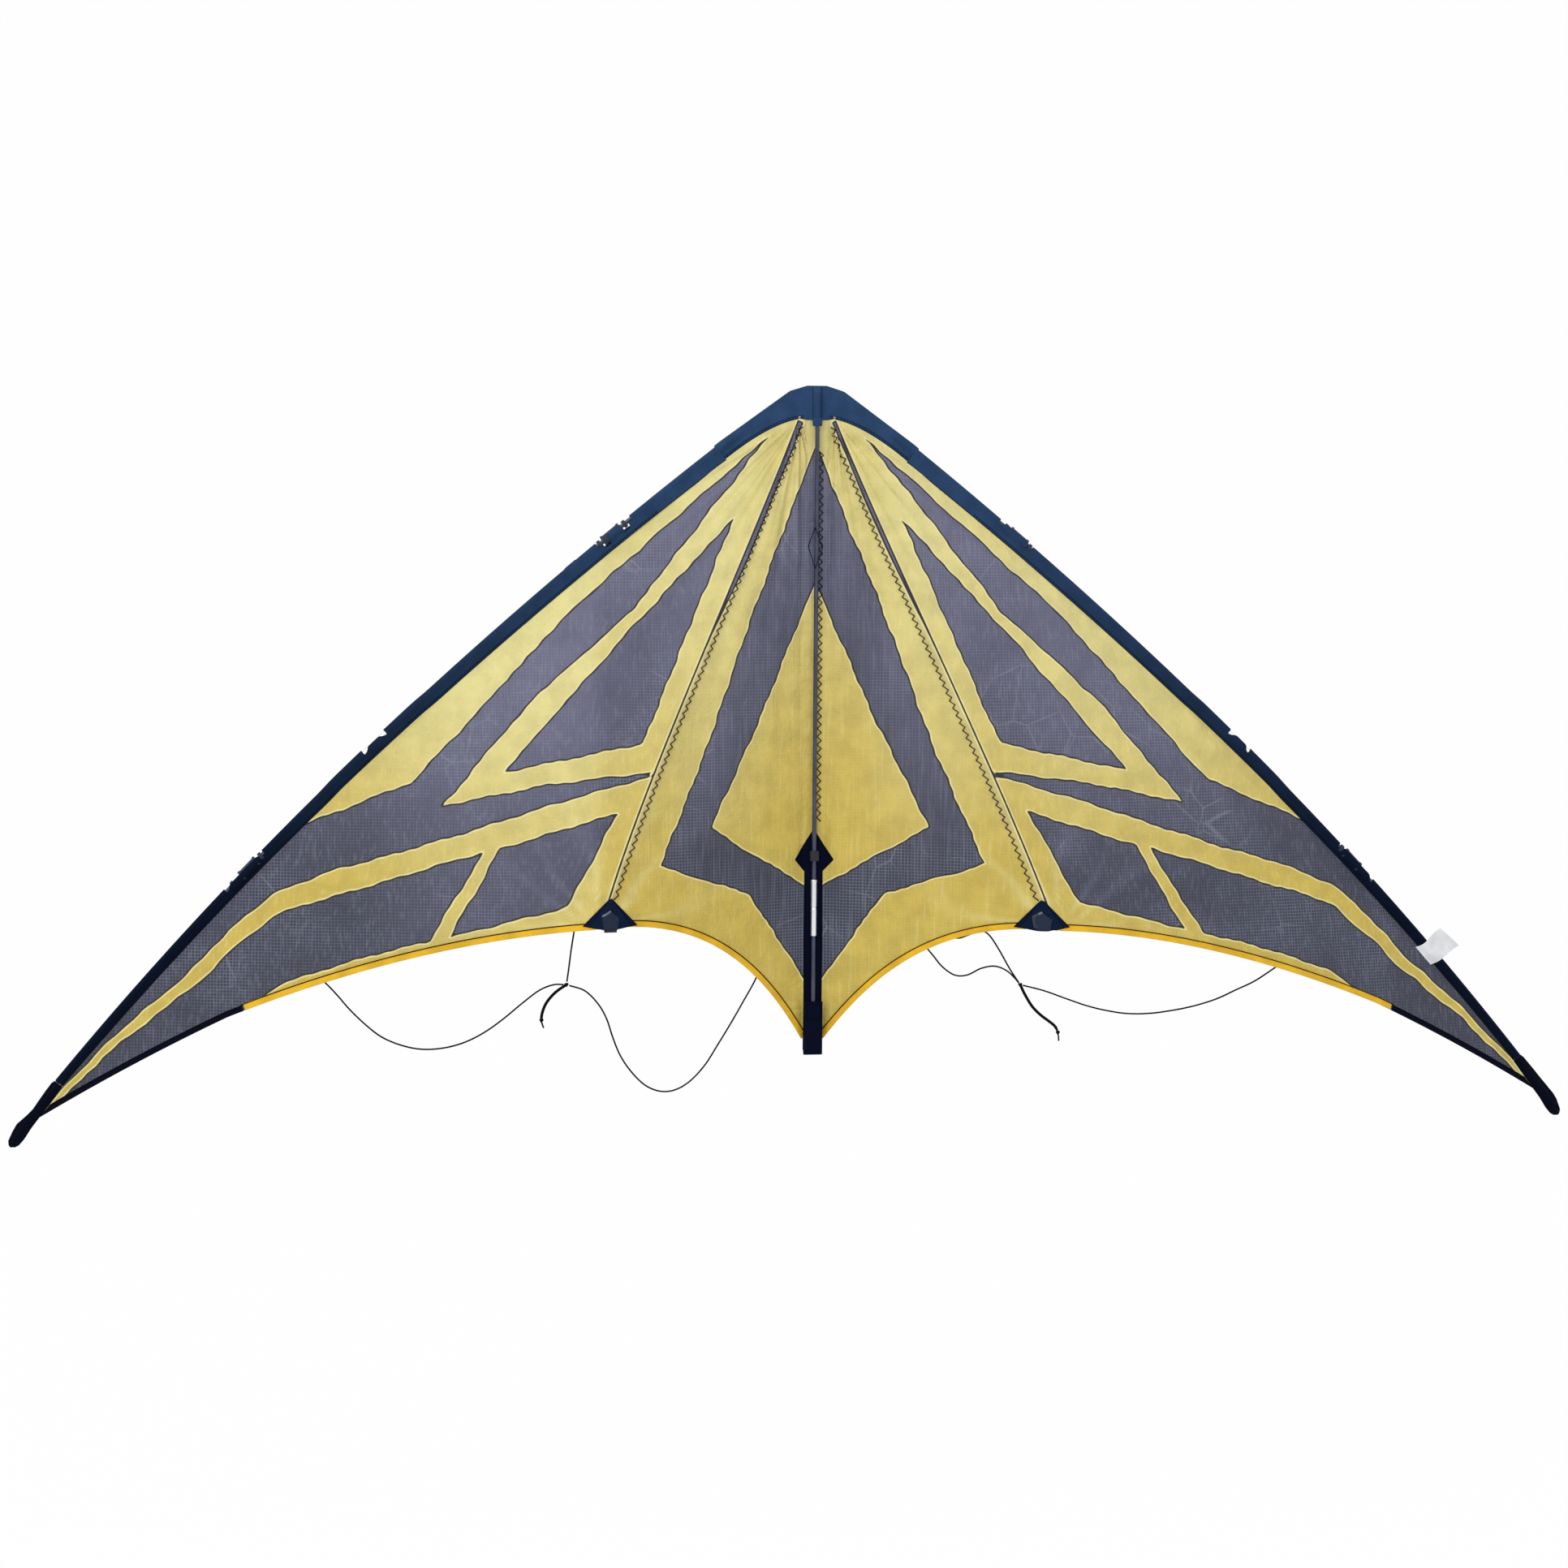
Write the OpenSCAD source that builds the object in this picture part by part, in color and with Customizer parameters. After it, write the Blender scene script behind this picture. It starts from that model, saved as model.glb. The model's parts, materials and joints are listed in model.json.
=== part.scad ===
// Two-line delta kite, nose up, seen from behind with the camera on the -Y side.
// X runs across the span, -Y points to the camera (the leeward side of the sail),
// +Y to the pilot, +Z up. The origin is the top of the nose. Millimetres.

/* [Leading edge] */
// Distance of a leading-edge rod's top end from the centre line
nose_rod_x = 75; // [60:1:90]
// Drop of a leading-edge rod's top end below the nose
nose_rod_drop = 46.2; // [40:0.1:52]
// Slope of the leading edge at its top end, degrees below horizontal
nose_slope = 37.8; // [36:0.1:40]
// Bend radius of the upper leading-edge rod
upper_bend_radius = 4300; // [3800:50:6000]
// Bend radius of the lower leading-edge rod
lower_bend_radius = 3300; // [3000:50:5000]
// Length of the upper leading-edge rod
upper_rod_length = 428; // [400:1:450]
// Length along the leading edge to the end of the lower rod
edge_length = 897; // [870:1:910]

/* [Rods] */
// Diameter of every main rod
rod_d = 4; // [3.5:0.1:4.2]
// Diameter of a standoff rod
standoff_d = 2; // [1.6:0.1:2.4]
// Outer diameter of a metal ferrule
ferrule_d = 6; // [5.6:0.1:6.2]
// Length of a metal ferrule
ferrule_length = 52; // [40:1:56]

/* [Sail] */
// Thickness of the sail cloth solids
cloth = 0.8; // [0.6:0.1:1]
// How far the standoffs hold the sail behind the leading-edge plane
billow = 84; // [70:1:95]
// Sweep of each wing behind the nose, degrees
dihedral = 1.2; // [0:0.1:2]
// Width of the trailing hem
hem_width = 6; // [4:0.5:8]
// Width of the dark trailing tape near each tip
tape_width = 5; // [4:0.5:7]

/* [Spine] */
// Drop from the nose to the bottom of the tail strip
spine_drop = 612; // [600:1:616]
// Drop from the nose to the centre tee
tee_drop = 429; // [420:1:436]
// Drop from the nose to the spine's ferrule
spine_joint_drop = 477; // [470:1:486]
// Width of the centre strip of cloth
strip_width = 18; // [16:0.5:19]

/* [Hidden] */

// Colours, as the photograph shows them
YELLOW = [0.80, 0.71, 0.36];
SLATE = [0.36, 0.38, 0.45];
NAVY = [0.09, 0.15, 0.27];
GOLD = [0.88, 0.70, 0.20];
BLACK = [0.08, 0.08, 0.09];
ALUMINIUM = [0.80, 0.81, 0.83];
WHITE = [0.93, 0.93, 0.93];

// Rod sizes and fits
rod_r = rod_d / 2;
standoff_r = standoff_d / 2;
slip = 0.06;                 // radial room of a fitting on its rod
pocket_room = 0.35;          // radial room of cloth round a rod
sleeve_bore = 2.55;          // radius of the channel that the sleeve leaves for its rod
sleeve_wall = 0.7;
joint_bore = ferrule_d / 2 + 0.3;
joint_zone = 60;             // half length of the wider channel at the ferrule
sleeve_edge = 0.6;           // half thickness of the sleeve's sewn inner edge

// Hinge lines of the wings
hinge_x = strip_width / 2 + 0.5;
hinge_y = 0.5;
sail_x = hinge_x + 0.45;     // where a wing's cloth starts
web_x = hinge_x + 1.15;      // where a wing's thicker nose web starts

// Stations along the leading edge, measured from the rod's top end
sleeve_start = 10;
luff_start = 38;              // where the sail's edge leaves the nose webbing
sleeve_end = 838;
upper_station = 144;
lower_station = 585;
upper_opening = [121, 161];
joint_opening = [414, 441];
lower_opening = [566, 614];
opening_depth = 6.4;         // how far inside the rod's axis an opening is cut
sail_end = 868;               // the sail ends inside the tip pouch's inner edge
tip_inset = 2.7;              // how far its edge draws in to pass the pouch

// Spine and strip
spine_y = -3.4;              // the spine lies on the camera side of the cloth
strip_thick = 1;
web_end = 97.6;              // the nose webbing ends on this upright line
web_thick = 1.6;
web_y = hinge_y - web_thick / 2;
nose_drop = 31;              // depth of the nose web at the centre
patch_top = 404;
patch_neck = 444;
tail_width = 17.2;
flap_height = 50;
flap_thick = 1.4;

// Tee and spreaders
tee_y = 8;
tee_arm = 26;
tee_arm_r = 3.6;
upper_spreader_z = -142;
upper_spreader_y = 3.8;
upper_mouth_x = 172;
upper_gap = 1;
connector_length = 20;
connector_r = 4.4;
arm_r = 3.4;
arm_length = 18;
lower_mouth_x = 494;
lower_arm_y = 7.2;
spreader_in = [tee_arm + 1, tee_y + 0.4, -tee_drop];
spreader_out = [lower_mouth_x + 11, lower_arm_y, -436];
clip_x = 195;

// Points of the sail's outline in a wing's flat frame: x, y, z
seam_top = [17, 0, -31.4];
seam_low = [197, -billow, -487];
seam_bend_a = [75, -0.26 * billow, -175];
seam_bend_b = [172, -0.67 * billow, -372];
keel_top = [sail_x, hinge_y, -31.4];
keel_low = [sail_x, hinge_y, -594];
hem_bend_a = [45, -0.17 * billow, -540];
hem_bend_b = [100, -0.52 * billow, -478];
web_bend = [50, 0, -38];
outer_bend_a = [308, -0.765 * billow, -494.2];
outer_bend_b = [419, -0.56 * billow, -522.3];
outer_corner = [530, -0.31 * billow, -567.9];
tip_bend = [611, -0.155 * billow, -606.2];
tape_share = 0.65;           // share of the outer panel's edge up to that corner
sail_columns = 8;
outer_columns = 14;
sail_rows = 12;

// ---------- curves ----------

function mix(a, b, t) = a * (1 - t) + b * t;
function bezier2(a, b, c, t) = mix(mix(a, b, t), mix(b, c, t), t);
function bezier3(a, b, c, d, t) = mix(bezier2(a, b, c, t), bezier2(b, c, d, t), t);
function degrees(arc, radius) = arc / radius * 180 / PI;

// End of an arc that starts at p = [x, z], slopes h degrees down and bends further down
function arc_end(p, h, radius, turn) =
    p + radius * [sin(h + turn) - sin(h), cos(h + turn) - cos(h)];
function upper_turn(s) = degrees(min(s, upper_rod_length), upper_bend_radius);
function lower_turn(s) = degrees(max(s - upper_rod_length, 0), lower_bend_radius);
function edge_slope(s) = nose_slope + upper_turn(s) + lower_turn(s);
function upper_end() = arc_end([nose_rod_x, -nose_rod_drop], nose_slope, upper_bend_radius,
                               upper_turn(upper_rod_length));
// Centre of the leading-edge rod at station s, moved outward by "out"
function edge_point(s, out = 0) =
    let (h = edge_slope(s),
         p = s <= upper_rod_length
             ? arc_end([nose_rod_x, -nose_rod_drop], nose_slope, upper_bend_radius, upper_turn(s))
             : arc_end(upper_end(), edge_slope(upper_rod_length), lower_bend_radius, lower_turn(s)))
    [p.x + out * sin(h), 0, p.y + out * cos(h)];

// Width of the sleeve: widest at the nose, narrowest at the tip
function sleeve_width(s) = s < upper_rod_length
    ? mix(16, 12.8, s / upper_rod_length)
    : mix(12.8, 8.6, (s - upper_rod_length) / (sleeve_end - upper_rod_length));
function channel_r(s) = abs(s - upper_rod_length) < joint_zone ? joint_bore : sleeve_bore;
function sleeve_r(s) = channel_r(s) + sleeve_wall;
function sleeve_inner(s) = edge_point(s, sleeve_r(s) - sleeve_width(s) - 0.15);

// ---------- shapes of the sail, in a wing's flat frame ----------

function seam(t) = bezier3(seam_top, seam_bend_a, seam_bend_b, seam_low, t);
function keel(t) = mix(keel_top, keel_low, t);
function inner_hem(u) = bezier3(keel_low, hem_bend_a, hem_bend_b, seam_low, u);
function web_edge(u) = bezier2(seam_top, web_bend, sleeve_inner(luff_start), u);
function luff(t) =
    let (s = mix(luff_start, sail_end, t), past = min(1, (s - sleeve_end) / 20))
    s < sleeve_end ? sleeve_inner(s)
        : edge_point(s, sleeve_r(s) - sleeve_width(sleeve_end) - 0.15 - tip_inset * past);
function tip_apex() = luff(1);
function outer_hem(u) = u < tape_share
    ? bezier3(seam_low, outer_bend_a, outer_bend_b, outer_corner, u / tape_share)
    : bezier2(outer_corner, tip_bend, tip_apex(), (u - tape_share) / (1 - tape_share));

// Patch between four edge curves: left, right, top and bottom are the values at (u, t)
function blend_patch(l, r, top, low, tl, tr, bl, br, u, t) =
    mix(l, r, u) + mix(top, low, t) - mix(mix(tl, tr, u), mix(bl, br, u), t);
function inner_sail(u, t) =
    blend_patch(keel(t), seam(t), mix(keel_top, seam_top, u), inner_hem(u),
                keel_top, seam_top, keel_low, seam_low, u, t);
function outer_sail(u, t) =
    blend_patch(seam(t), luff(t), web_edge(u), outer_hem(u),
                seam_top, web_edge(1), seam_low, tip_apex(), u, t);

// ---------- solids from points ----------

// Thin sheet between two grids of points, each a list of rows
module sheet(front, back) {
    rows = len(front);
    cols = len(front[0]);
    n = rows * cols;
    at = function(j, i) j * cols + i;
    face = [for (j = [0:rows - 2], i = [0:cols - 2])
        each [[at(j, i), at(j, i + 1), at(j + 1, i + 1)], [at(j, i), at(j + 1, i + 1), at(j + 1, i)]]];
    rim = concat(
        [for (i = [0:cols - 1]) at(0, i)],
        [for (j = [1:rows - 1]) at(j, cols - 1)],
        [for (i = [cols - 2:-1:0]) at(rows - 1, i)],
        [for (j = [rows - 2:-1:1]) at(j, 0)]);
    edge = [for (k = [0:len(rim) - 1])
        let (a = rim[k], b = rim[(k + 1) % len(rim)])
        each [[b, a, a + n], [b, a + n, b + n]]];
    polyhedron(
        points = concat([for (row = front) each row], [for (row = back) each row]),
        faces = concat(edge, face, [for (f = face) [f[2] + n, f[1] + n, f[0] + n]]));
}

// Solid skinned over rings of equally many points, with flat ends
module loft(rings) {
    n = len(rings[0]);
    last = (len(rings) - 1) * n;
    sides = [for (k = [0:len(rings) - 2], i = [0:n - 1])
        let (a = k * n + i, b = k * n + (i + 1) % n)
        each [[a, b, b + n], [a, b + n, a + n]]];
    polyhedron(
        points = [for (r = rings) each r],
        faces = concat([[for (i = [n - 1:-1:0]) i]], sides, [[for (i = [0:n - 1]) last + i]]));
}

// Sheet of cloth on a grid of points, "lift" in front of its middle towards +Y
module cloth_sheet(grid, thick, lift = 0) {
    sheet([for (row = grid) [for (p = row) p + [0, lift - thick / 2, 0]]],
          [for (row = grid) [for (p = row) p + [0, lift + thick / 2, 0]]]);
}

module rod(a, b, r) {
    d = b - a;
    length = norm(d);
    translate(a)
        rotate([0, acos(d.z / length), atan2(d.y, d.x)])
            cylinder(h = length, r = r, $fn = 32);
}

module tube(a, b, outer, bore) {
    over = (b - a) / norm(b - a);
    difference() {
        rod(a, b, outer);
        rod(a - over, b + over, bore);
    }
}

// Rod of an arc of the leading edge
module bent_rod(start, slope, radius, turn, r) {
    centre = start - radius * [sin(slope), cos(slope)];
    translate([centre.x, 0, centre.y])
        rotate([90, 0, 0])
            rotate([0, 0, 90 - slope - turn])
                rotate_extrude(angle = turn, $fn = 720)
                    translate([radius, 0]) circle(r = r, $fn = 24);
}

// Frame at station s of the leading edge: +X along it, +Z outward
module at_edge(s) {
    p = edge_point(s);
    translate(p) rotate([0, edge_slope(s), 0]) children();
}

// Puts a right wing's flat frame in place, or its mirror image on the left
module wing(side) {
    mirror([side == "left" ? 1 : 0, 0, 0])
        translate([hinge_x, hinge_y, 0])
            rotate([0, 0, -dihedral])
                translate([-hinge_x, -hinge_y, 0])
                    children();
}

// ---------- spine and centre ----------

module spine_upper_rod() {
    color(BLACK) rod([0, spine_y, -spine_joint_drop + 0.2], [0, spine_y, -7], rod_r);
}

module spine_lower_rod() {
    color(BLACK) rod([0, spine_y, -spine_drop + 12], [0, spine_y, -spine_joint_drop - 0.2], rod_r);
}

// Aluminium tube over the joint of the spine's two rods, with a crimp at its middle
module spine_ferrule() {
    half = ferrule_length / 2;
    color(ALUMINIUM)
        translate([0, spine_y, -spine_joint_drop])
            rotate_extrude($fn = 48)
                polygon([
                    [rod_r + slip, -half], [ferrule_d / 2 - 0.3, -half], [ferrule_d / 2, -half + 0.5],
                    [ferrule_d / 2, -1.2], [ferrule_d / 2 - 0.35, 0], [ferrule_d / 2, 1.2],
                    [ferrule_d / 2, half - 0.5], [ferrule_d / 2 - 0.3, half], [rod_r + slip, half]]);
}

// Vinyl cap on the spine's lower end
module spine_cap() {
    low = -spine_drop + 7;
    color(BLACK)
        difference() {
            translate([0, spine_y, low])
                rotate_extrude($fn = 32)
                    polygon([[0, 0], [1.4, 0], [rod_r + 0.4, 1.2], [rod_r + 0.4, 15], [0, 15]]);
            rod([0, spine_y, -spine_drop + 12 - slip], [0, spine_y, low + 20], rod_r + slip);
        }
}

// Moulded tee: a collar on the spine, a stem through the cloth, and two sockets
module center_tee() {
    collar = 7.6;
    collar_height = 9;
    socket = 20;
    color(BLACK)
        difference() {
            union() {
                translate([-collar / 2, spine_y - collar / 2, -tee_drop - collar_height / 2])
                    cube([collar, collar / 2 - spine_y - 0.2, collar_height]);
                translate([-3, spine_y + rod_r + 0.5, -tee_drop - 3.5])
                    cube([6, tee_y - spine_y - rod_r - 0.5, 7]);
                rod([-tee_arm, tee_y, -tee_drop], [tee_arm, tee_y, -tee_drop], tee_arm_r);
                for (side = [-1, 1])
                    rod([side * tee_arm, tee_y, -tee_drop], [side * (tee_arm - 3), tee_y, -tee_drop],
                        tee_arm_r + 0.5);
            }
            rod([0, spine_y, -tee_drop - collar_height], [0, spine_y, -tee_drop + collar_height],
                rod_r + slip);
            for (side = [-1, 1])
                rod([side * (tee_arm + 1), tee_y, -tee_drop],
                    [side * (tee_arm - socket), tee_y, -tee_drop], rod_r + 2 * slip);
        }
}

// Opening of the centre strip for the tee's stem
module stem_hole() {
    translate([-3.4, -2, -tee_drop - 3.9]) cube([6.8, 5, 7.8]);
}

// Yellow cloth along the spine, which the wings fold about
module center_seam() {
    low = -patch_top + 0.2;
    color(YELLOW)
        translate([-strip_width / 2, hinge_y - strip_thick / 2, low])
            cube([strip_width, strip_thick, -nose_drop - 0.2 - low]);
}

// Navy reinforcement with its tail strip
module keel_patch() {
    half = strip_width / 2;
    tail = tail_width / 2;
    color(NAVY)
        difference() {
            translate([0, hinge_y + strip_thick / 2, 0])
                rotate([90, 0, 0])
                    linear_extrude(strip_thick)
                        polygon([
                            [-half, -patch_top], [half, -patch_top], [half, -patch_neck],
                            [tail, -patch_neck - 3], [tail, -spine_drop + 2], [tail - 2, -spine_drop],
                            [2 - tail, -spine_drop], [-tail, -spine_drop + 2],
                            [-tail, -patch_neck - 3], [-half, -patch_neck]]);
            stem_hole();
        }
}

// Middle of the nose webbing, with the pocket that holds the spine's top end
module nose_tab() {
    half = strip_width / 2;
    color(NAVY)
        difference() {
            union() {
                translate([0, web_y + web_thick, 0])
                    rotate([90, 0, 0])
                        linear_extrude(web_thick)
                            polygon([[-half, 0], [half, 0], [half, -nose_drop], [-half, -nose_drop]]);
                hull()
                    for (side = [-1, 1])
                        rod([side * 1.4, spine_y, -36.5], [side * 1.4, spine_y, -3], 3);
            }
            rod([0, spine_y, -40], [0, spine_y, -6.5], rod_r + pocket_room);
        }
}

module upper_spreader() {
    reach = upper_mouth_x - upper_gap;
    color(BLACK)
        rod([-reach, upper_spreader_y, upper_spreader_z], [reach, upper_spreader_y, upper_spreader_z],
            rod_r);
}

// Soft sleeve, sewn to the strip, that keeps the middle of the upper spreader
module spreader_keeper() {
    half = 8;
    color(NAVY)
        difference() {
            union() {
                rod([-half, upper_spreader_y, upper_spreader_z], [half, upper_spreader_y, upper_spreader_z],
                    rod_r + 0.7);
                translate([-half, hinge_y + strip_thick / 2 + 0.05, upper_spreader_z - 4])
                    cube([2 * half, 0.7, 8]);
            }
            rod([-half - 1, upper_spreader_y, upper_spreader_z],
                [half + 1, upper_spreader_y, upper_spreader_z], rod_r + slip);
        }
}

// Hook-and-loop flap that folds up over the spine's lower end
module tail_strap() {
    back = spine_y - rod_r - 0.8 - flap_thick;
    half = tail_width / 2 - 0.3;
    low = -spine_drop - 1.4;
    color(NAVY) {
        translate([-half, back, low + flap_thick - 0.01])
            cube([2 * half, flap_thick, flap_height]);
        translate([-half, back, low]) cube([2 * half, -back - 0.3, flap_thick]);
    }
}

// ---------- wing frame ----------

module edge_upper_rod(side) {
    color(BLACK) wing(side)
        bent_rod([nose_rod_x, -nose_rod_drop], nose_slope, upper_bend_radius,
                 upper_turn(upper_rod_length - 0.2), rod_r);
}

module edge_lower_rod(side) {
    first = upper_rod_length + 0.2;
    p = edge_point(first);
    color(BLACK) wing(side)
        bent_rod([p.x, p.z], edge_slope(first), lower_bend_radius,
                 degrees(edge_length - first, lower_bend_radius), rod_r);
}

module edge_ferrule(side) {
    half = ferrule_length / 2;
    color(ALUMINIUM) wing(side)
        at_edge(upper_rod_length)
            tube([-half, 0, 0], [half, 0, 0], ferrule_d / 2 - 0.1, rod_r + 0.14);
}

// Ring of the sleeve's outline at station s
function sleeve_ring(s) =
    let (h = edge_slope(s), p = edge_point(s), r = sleeve_r(s), tail = r - sleeve_width(s))
    [for (q = concat([for (a = [-90:30:90]) r * [cos(a), sin(a)]],
                     [[tail, sleeve_edge], [tail, -sleeve_edge]]))
        p + [q.x * sin(h), q.y, q.x * cos(h)]];
function channel_ring(s) =
    let (h = edge_slope(s), p = edge_point(s), r = channel_r(s))
    [for (a = [0:45:315]) p + r * [cos(a) * sin(h), sin(a), cos(a) * cos(h)]];

// Webbing folded round the leading-edge rods, cut open at the fittings
module edge_sleeve(side) {
    count = 30;
    step = (sleeve_end - sleeve_start) / count;
    color(NAVY) wing(side)
        difference() {
            loft([for (k = [0:count]) sleeve_ring(sleeve_start + k * step)]);
            loft([for (k = [-1:count + 1]) channel_ring(sleeve_start + k * step)]);
            translate([0, -10, -100]) cube([web_end + 0.5, 20, 100]);
            for (gap = [upper_opening, joint_opening, lower_opening])
                at_edge((gap[0] + gap[1]) / 2)
                    translate([(gap[0] - gap[1]) / 2, -10, -opening_depth])
                        cube([gap[1] - gap[0], 20, 30]);
        }
}

// Flat webbing plate from an outline in x, z
module plate(outline, y, thick) {
    translate([0, y + thick, 0]) rotate([90, 0, 0]) linear_extrude(thick) polygon(outline);
}

// Nose webbing of one wing, with the pocket of its leading-edge rod
module nose_web(side) {
    steps = 8;
    lower = [for (k = [steps:-1:0]) let (p = web_edge(k / steps)) [p.x, p.z + 0.2]];
    color(NAVY) wing(side)
        difference() {
            union() {
                plate(concat([[web_x, 0], [25, -5], [94, -55], [web_end, -58]], lower,
                             [[web_x, -nose_drop]]), web_y, web_thick);
                rod(edge_point(-6), edge_point(luff_start), sleeve_r(0) + 0.4);
            }
            rod(edge_point(-2), edge_point(luff_start + 9), rod_r + pocket_room);
            translate([web_end, -10, -100]) cube([50, 20, 100]);
        }
}

// Webbing pouch that closes the sleeve over the tip of the leading edge
module tip_web(side) {
    first = sleeve_end + 0.3;
    color(NAVY) wing(side)
        difference() {
            union() {
                at_edge(850)
                    translate([0, web_thick / 2, 0])
                        rotate([90, 0, 0])
                            linear_extrude(web_thick)
                                offset(r = 2, $fn = 24)
                                    polygon([
                                        [-9, 2.4], [20, 1.4], [36, 2.2], [51, -0.5], [52, -5],
                                        [44, -8], [22, -5.4], [10, -6], [-9, -3.2]]);
                rod(edge_point(first), edge_point(edge_length + 8), sleeve_r(first) + 0.2);
            }
            rod(edge_point(first - 3), edge_point(edge_length + 5), sleeve_bore);
        }
}

// Vinyl cap on the leading edge's lower end, inside the pouch
module tip_cap(side) {
    color(BLACK) wing(side)
        difference() {
            rod(edge_point(edge_length - 10), edge_point(edge_length + 4), sleeve_bore - 0.1);
            rod(edge_point(edge_length - 12), edge_point(edge_length + slip), rod_r + 0.1);
        }
}

// Moulded fitting: a barrel on the leading edge, a web, and a socket for a spreader
module connector(side, s, mouth, back) {
    half = connector_length / 2;
    d = (mouth - back) / norm(mouth - back);
    color(BLACK) wing(side)
        difference() {
            union() {
                at_edge(s) rod([-half, 0, 0], [half, 0, 0], connector_r);
                for (end = [-1, 1])
                    at_edge(s) rod([end * half, 0, 0], [end * (half - 2), 0, 0], connector_r + 0.6);
                rod(back, mouth, arm_r);
                rod(mouth - 2.5 * d, mouth, arm_r + 0.5);
                hull() {
                    at_edge(s) rod([-half + 3, 1, 0], [half - 3, 1, 0], 2.4);
                    rod(back + d, back + 9 * d, 2.4);
                }
            }
            at_edge(s) rod([-half - 1, 0, 0], [half + 1, 0, 0], rod_r + slip);
            rod(mouth + d, back + 3 * d, rod_r + slip);
        }
}

module upper_connector(side) {
    y = upper_spreader_y + (upper_mouth_x - hinge_x) * sin(dihedral);
    connector(side, upper_station, [upper_mouth_x, y, upper_spreader_z],
              [upper_mouth_x + arm_length, y, upper_spreader_z]);
}

module lower_connector(side) {
    d = (spreader_out - spreader_in) / norm(spreader_out - spreader_in);
    back = spreader_out + 5 * d;
    connector(side, lower_station, back - arm_length * d, back);
}

// C-shaped rings that keep each fitting in its place
module stop_clips(side) {
    color(BLACK) wing(side)
        for (s = [upper_station - 15, upper_station + 14, lower_station - 15, lower_station + 20])
            at_edge(s)
                difference() {
                    rod([-1.5, 0, 0], [1.5, 0, 0], 3.7);
                    rod([-3, 0, 0], [3, 0, 0], rod_r + slip);
                    translate([-3, -0.9, -6]) cube([6, 1.8, 6]);
                }
}

// ---------- wing cloth ----------

module inner_sail_panel(side) {
    color(YELLOW) wing(side)
        cloth_sheet([for (j = [0:sail_rows])
            [for (i = [0:sail_columns]) inner_sail(i / sail_columns, j / sail_rows)]], cloth);
}

module outer_sail_panel(side) {
    color(SLATE) wing(side)
        cloth_sheet([for (j = [0:sail_rows])
            [for (i = [0:outer_columns]) outer_sail(i / outer_columns, j / sail_rows)]], cloth);
}

// Two rows of points, the trailing edge and a line the given width above it
function hem_rows(points_low, points_high, width) = [
    [for (i = [0:len(points_low) - 1])
        mix(points_low[i], points_high[i], width / norm(points_high[i] - points_low[i]))],
    points_low];

// Strip sewn to the camera face along the trailing edge from share u0 to u1 of a panel
module foot_strip(panel, columns, u0, u1, width, thick) {
    steps = [for (k = [0:columns]) mix(u0, u1, k / columns)];
    grid = hem_rows([for (u = steps) panel(u, 1)], [for (u = steps) panel(u, 0.92)], width);
    cloth_sheet(grid, thick, -(cloth + thick) / 2 - 0.25);
}

module hem(side) {
    color(GOLD) wing(side) {
        foot_strip(function(u, t) inner_sail(u, t), 14, 0.01, 0.86, hem_width, 0.5);
        foot_strip(function(u, t) outer_sail(u, t), 16, 0.05, tape_share, hem_width, 0.5);
    }
}

module tip_tape(side) {
    color(NAVY) wing(side)
        foot_strip(function(u, t) outer_sail(u, t), 10, tape_share + 0.003, 0.985, tape_width, 0.5);
}

// Navy triangle that spreads the standoff's push over both panels
module standoff_patch(side) {
    rows = [
        [inner_sail(0.99, 0.945), seam(0.945), outer_sail(0.004, 0.945)],
        [inner_sail(0.93, 0.972), seam(0.972), outer_sail(0.026, 0.972)],
        [inner_sail(0.87, 0.999), seam(0.999), outer_sail(0.047, 0.999)]];
    color(NAVY) wing(side) cloth_sheet(rows, 0.6, -(cloth + 0.6) / 2 - 0.25);
}

// ---------- standoffs ----------

function on_spreader(x) =
    mix(spreader_in, spreader_out, (x - spreader_in.x) / (spreader_out.x - spreader_in.x));
pocket_foot = seam(0.985) + [0, 3.3, 0];
pocket_tilt = [-13.5, 0, -6];  // the holder's plate lies along the seam's valley
standoff_line = (pocket_foot - on_spreader(clip_x)) / norm(pocket_foot - on_spreader(clip_x));
pocket_mouth = pocket_foot - 9 * standoff_line;

// Five-sided plastic holder on the pilot side of the patch, with a socket
module standoff_pocket(side) {
    color(BLACK) wing(side)
        difference() {
            union() {
                translate(pocket_foot)
                    rotate(pocket_tilt)
                        rotate([90, 0, 0])
                            translate([0, 0, -2.2])
                                linear_extrude(2.2)
                                    polygon([[-7, 3], [0, 8], [7, 3], [5.4, -6], [-5.4, -6]]);
                rod(pocket_foot - 2.2 * standoff_line, pocket_mouth, 2.6);
            }
            rod(pocket_mouth - standoff_line, pocket_mouth + 6 * standoff_line, standoff_r + 0.1);
        }
}

module lower_spreader(side) {
    color(BLACK) wing(side) rod(spreader_in, spreader_out, rod_r);
}

// Rubber clip on the spreader that holds the standoff and turns with it
module standoff_clip(side) {
    p = on_spreader(clip_x);
    color(BLACK) wing(side)
        difference() {
            union() {
                rod(on_spreader(clip_x - 5), on_spreader(clip_x + 5), 3.7);
                rod(p, p + 15 * standoff_line, 2.4);
                rod(p + 12.5 * standoff_line, p + 15 * standoff_line, 2.8);
            }
            rod(on_spreader(clip_x - 7), on_spreader(clip_x + 7), rod_r + 0.08);
            rod(p + 4.6 * standoff_line, p + 17 * standoff_line, standoff_r + slip);
        }
}

module standoff_rod(side) {
    p = on_spreader(clip_x);
    color(BLACK) wing(side) rod(p + 5 * standoff_line, pocket_mouth - 0.6 * standoff_line, standoff_r);
}

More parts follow.
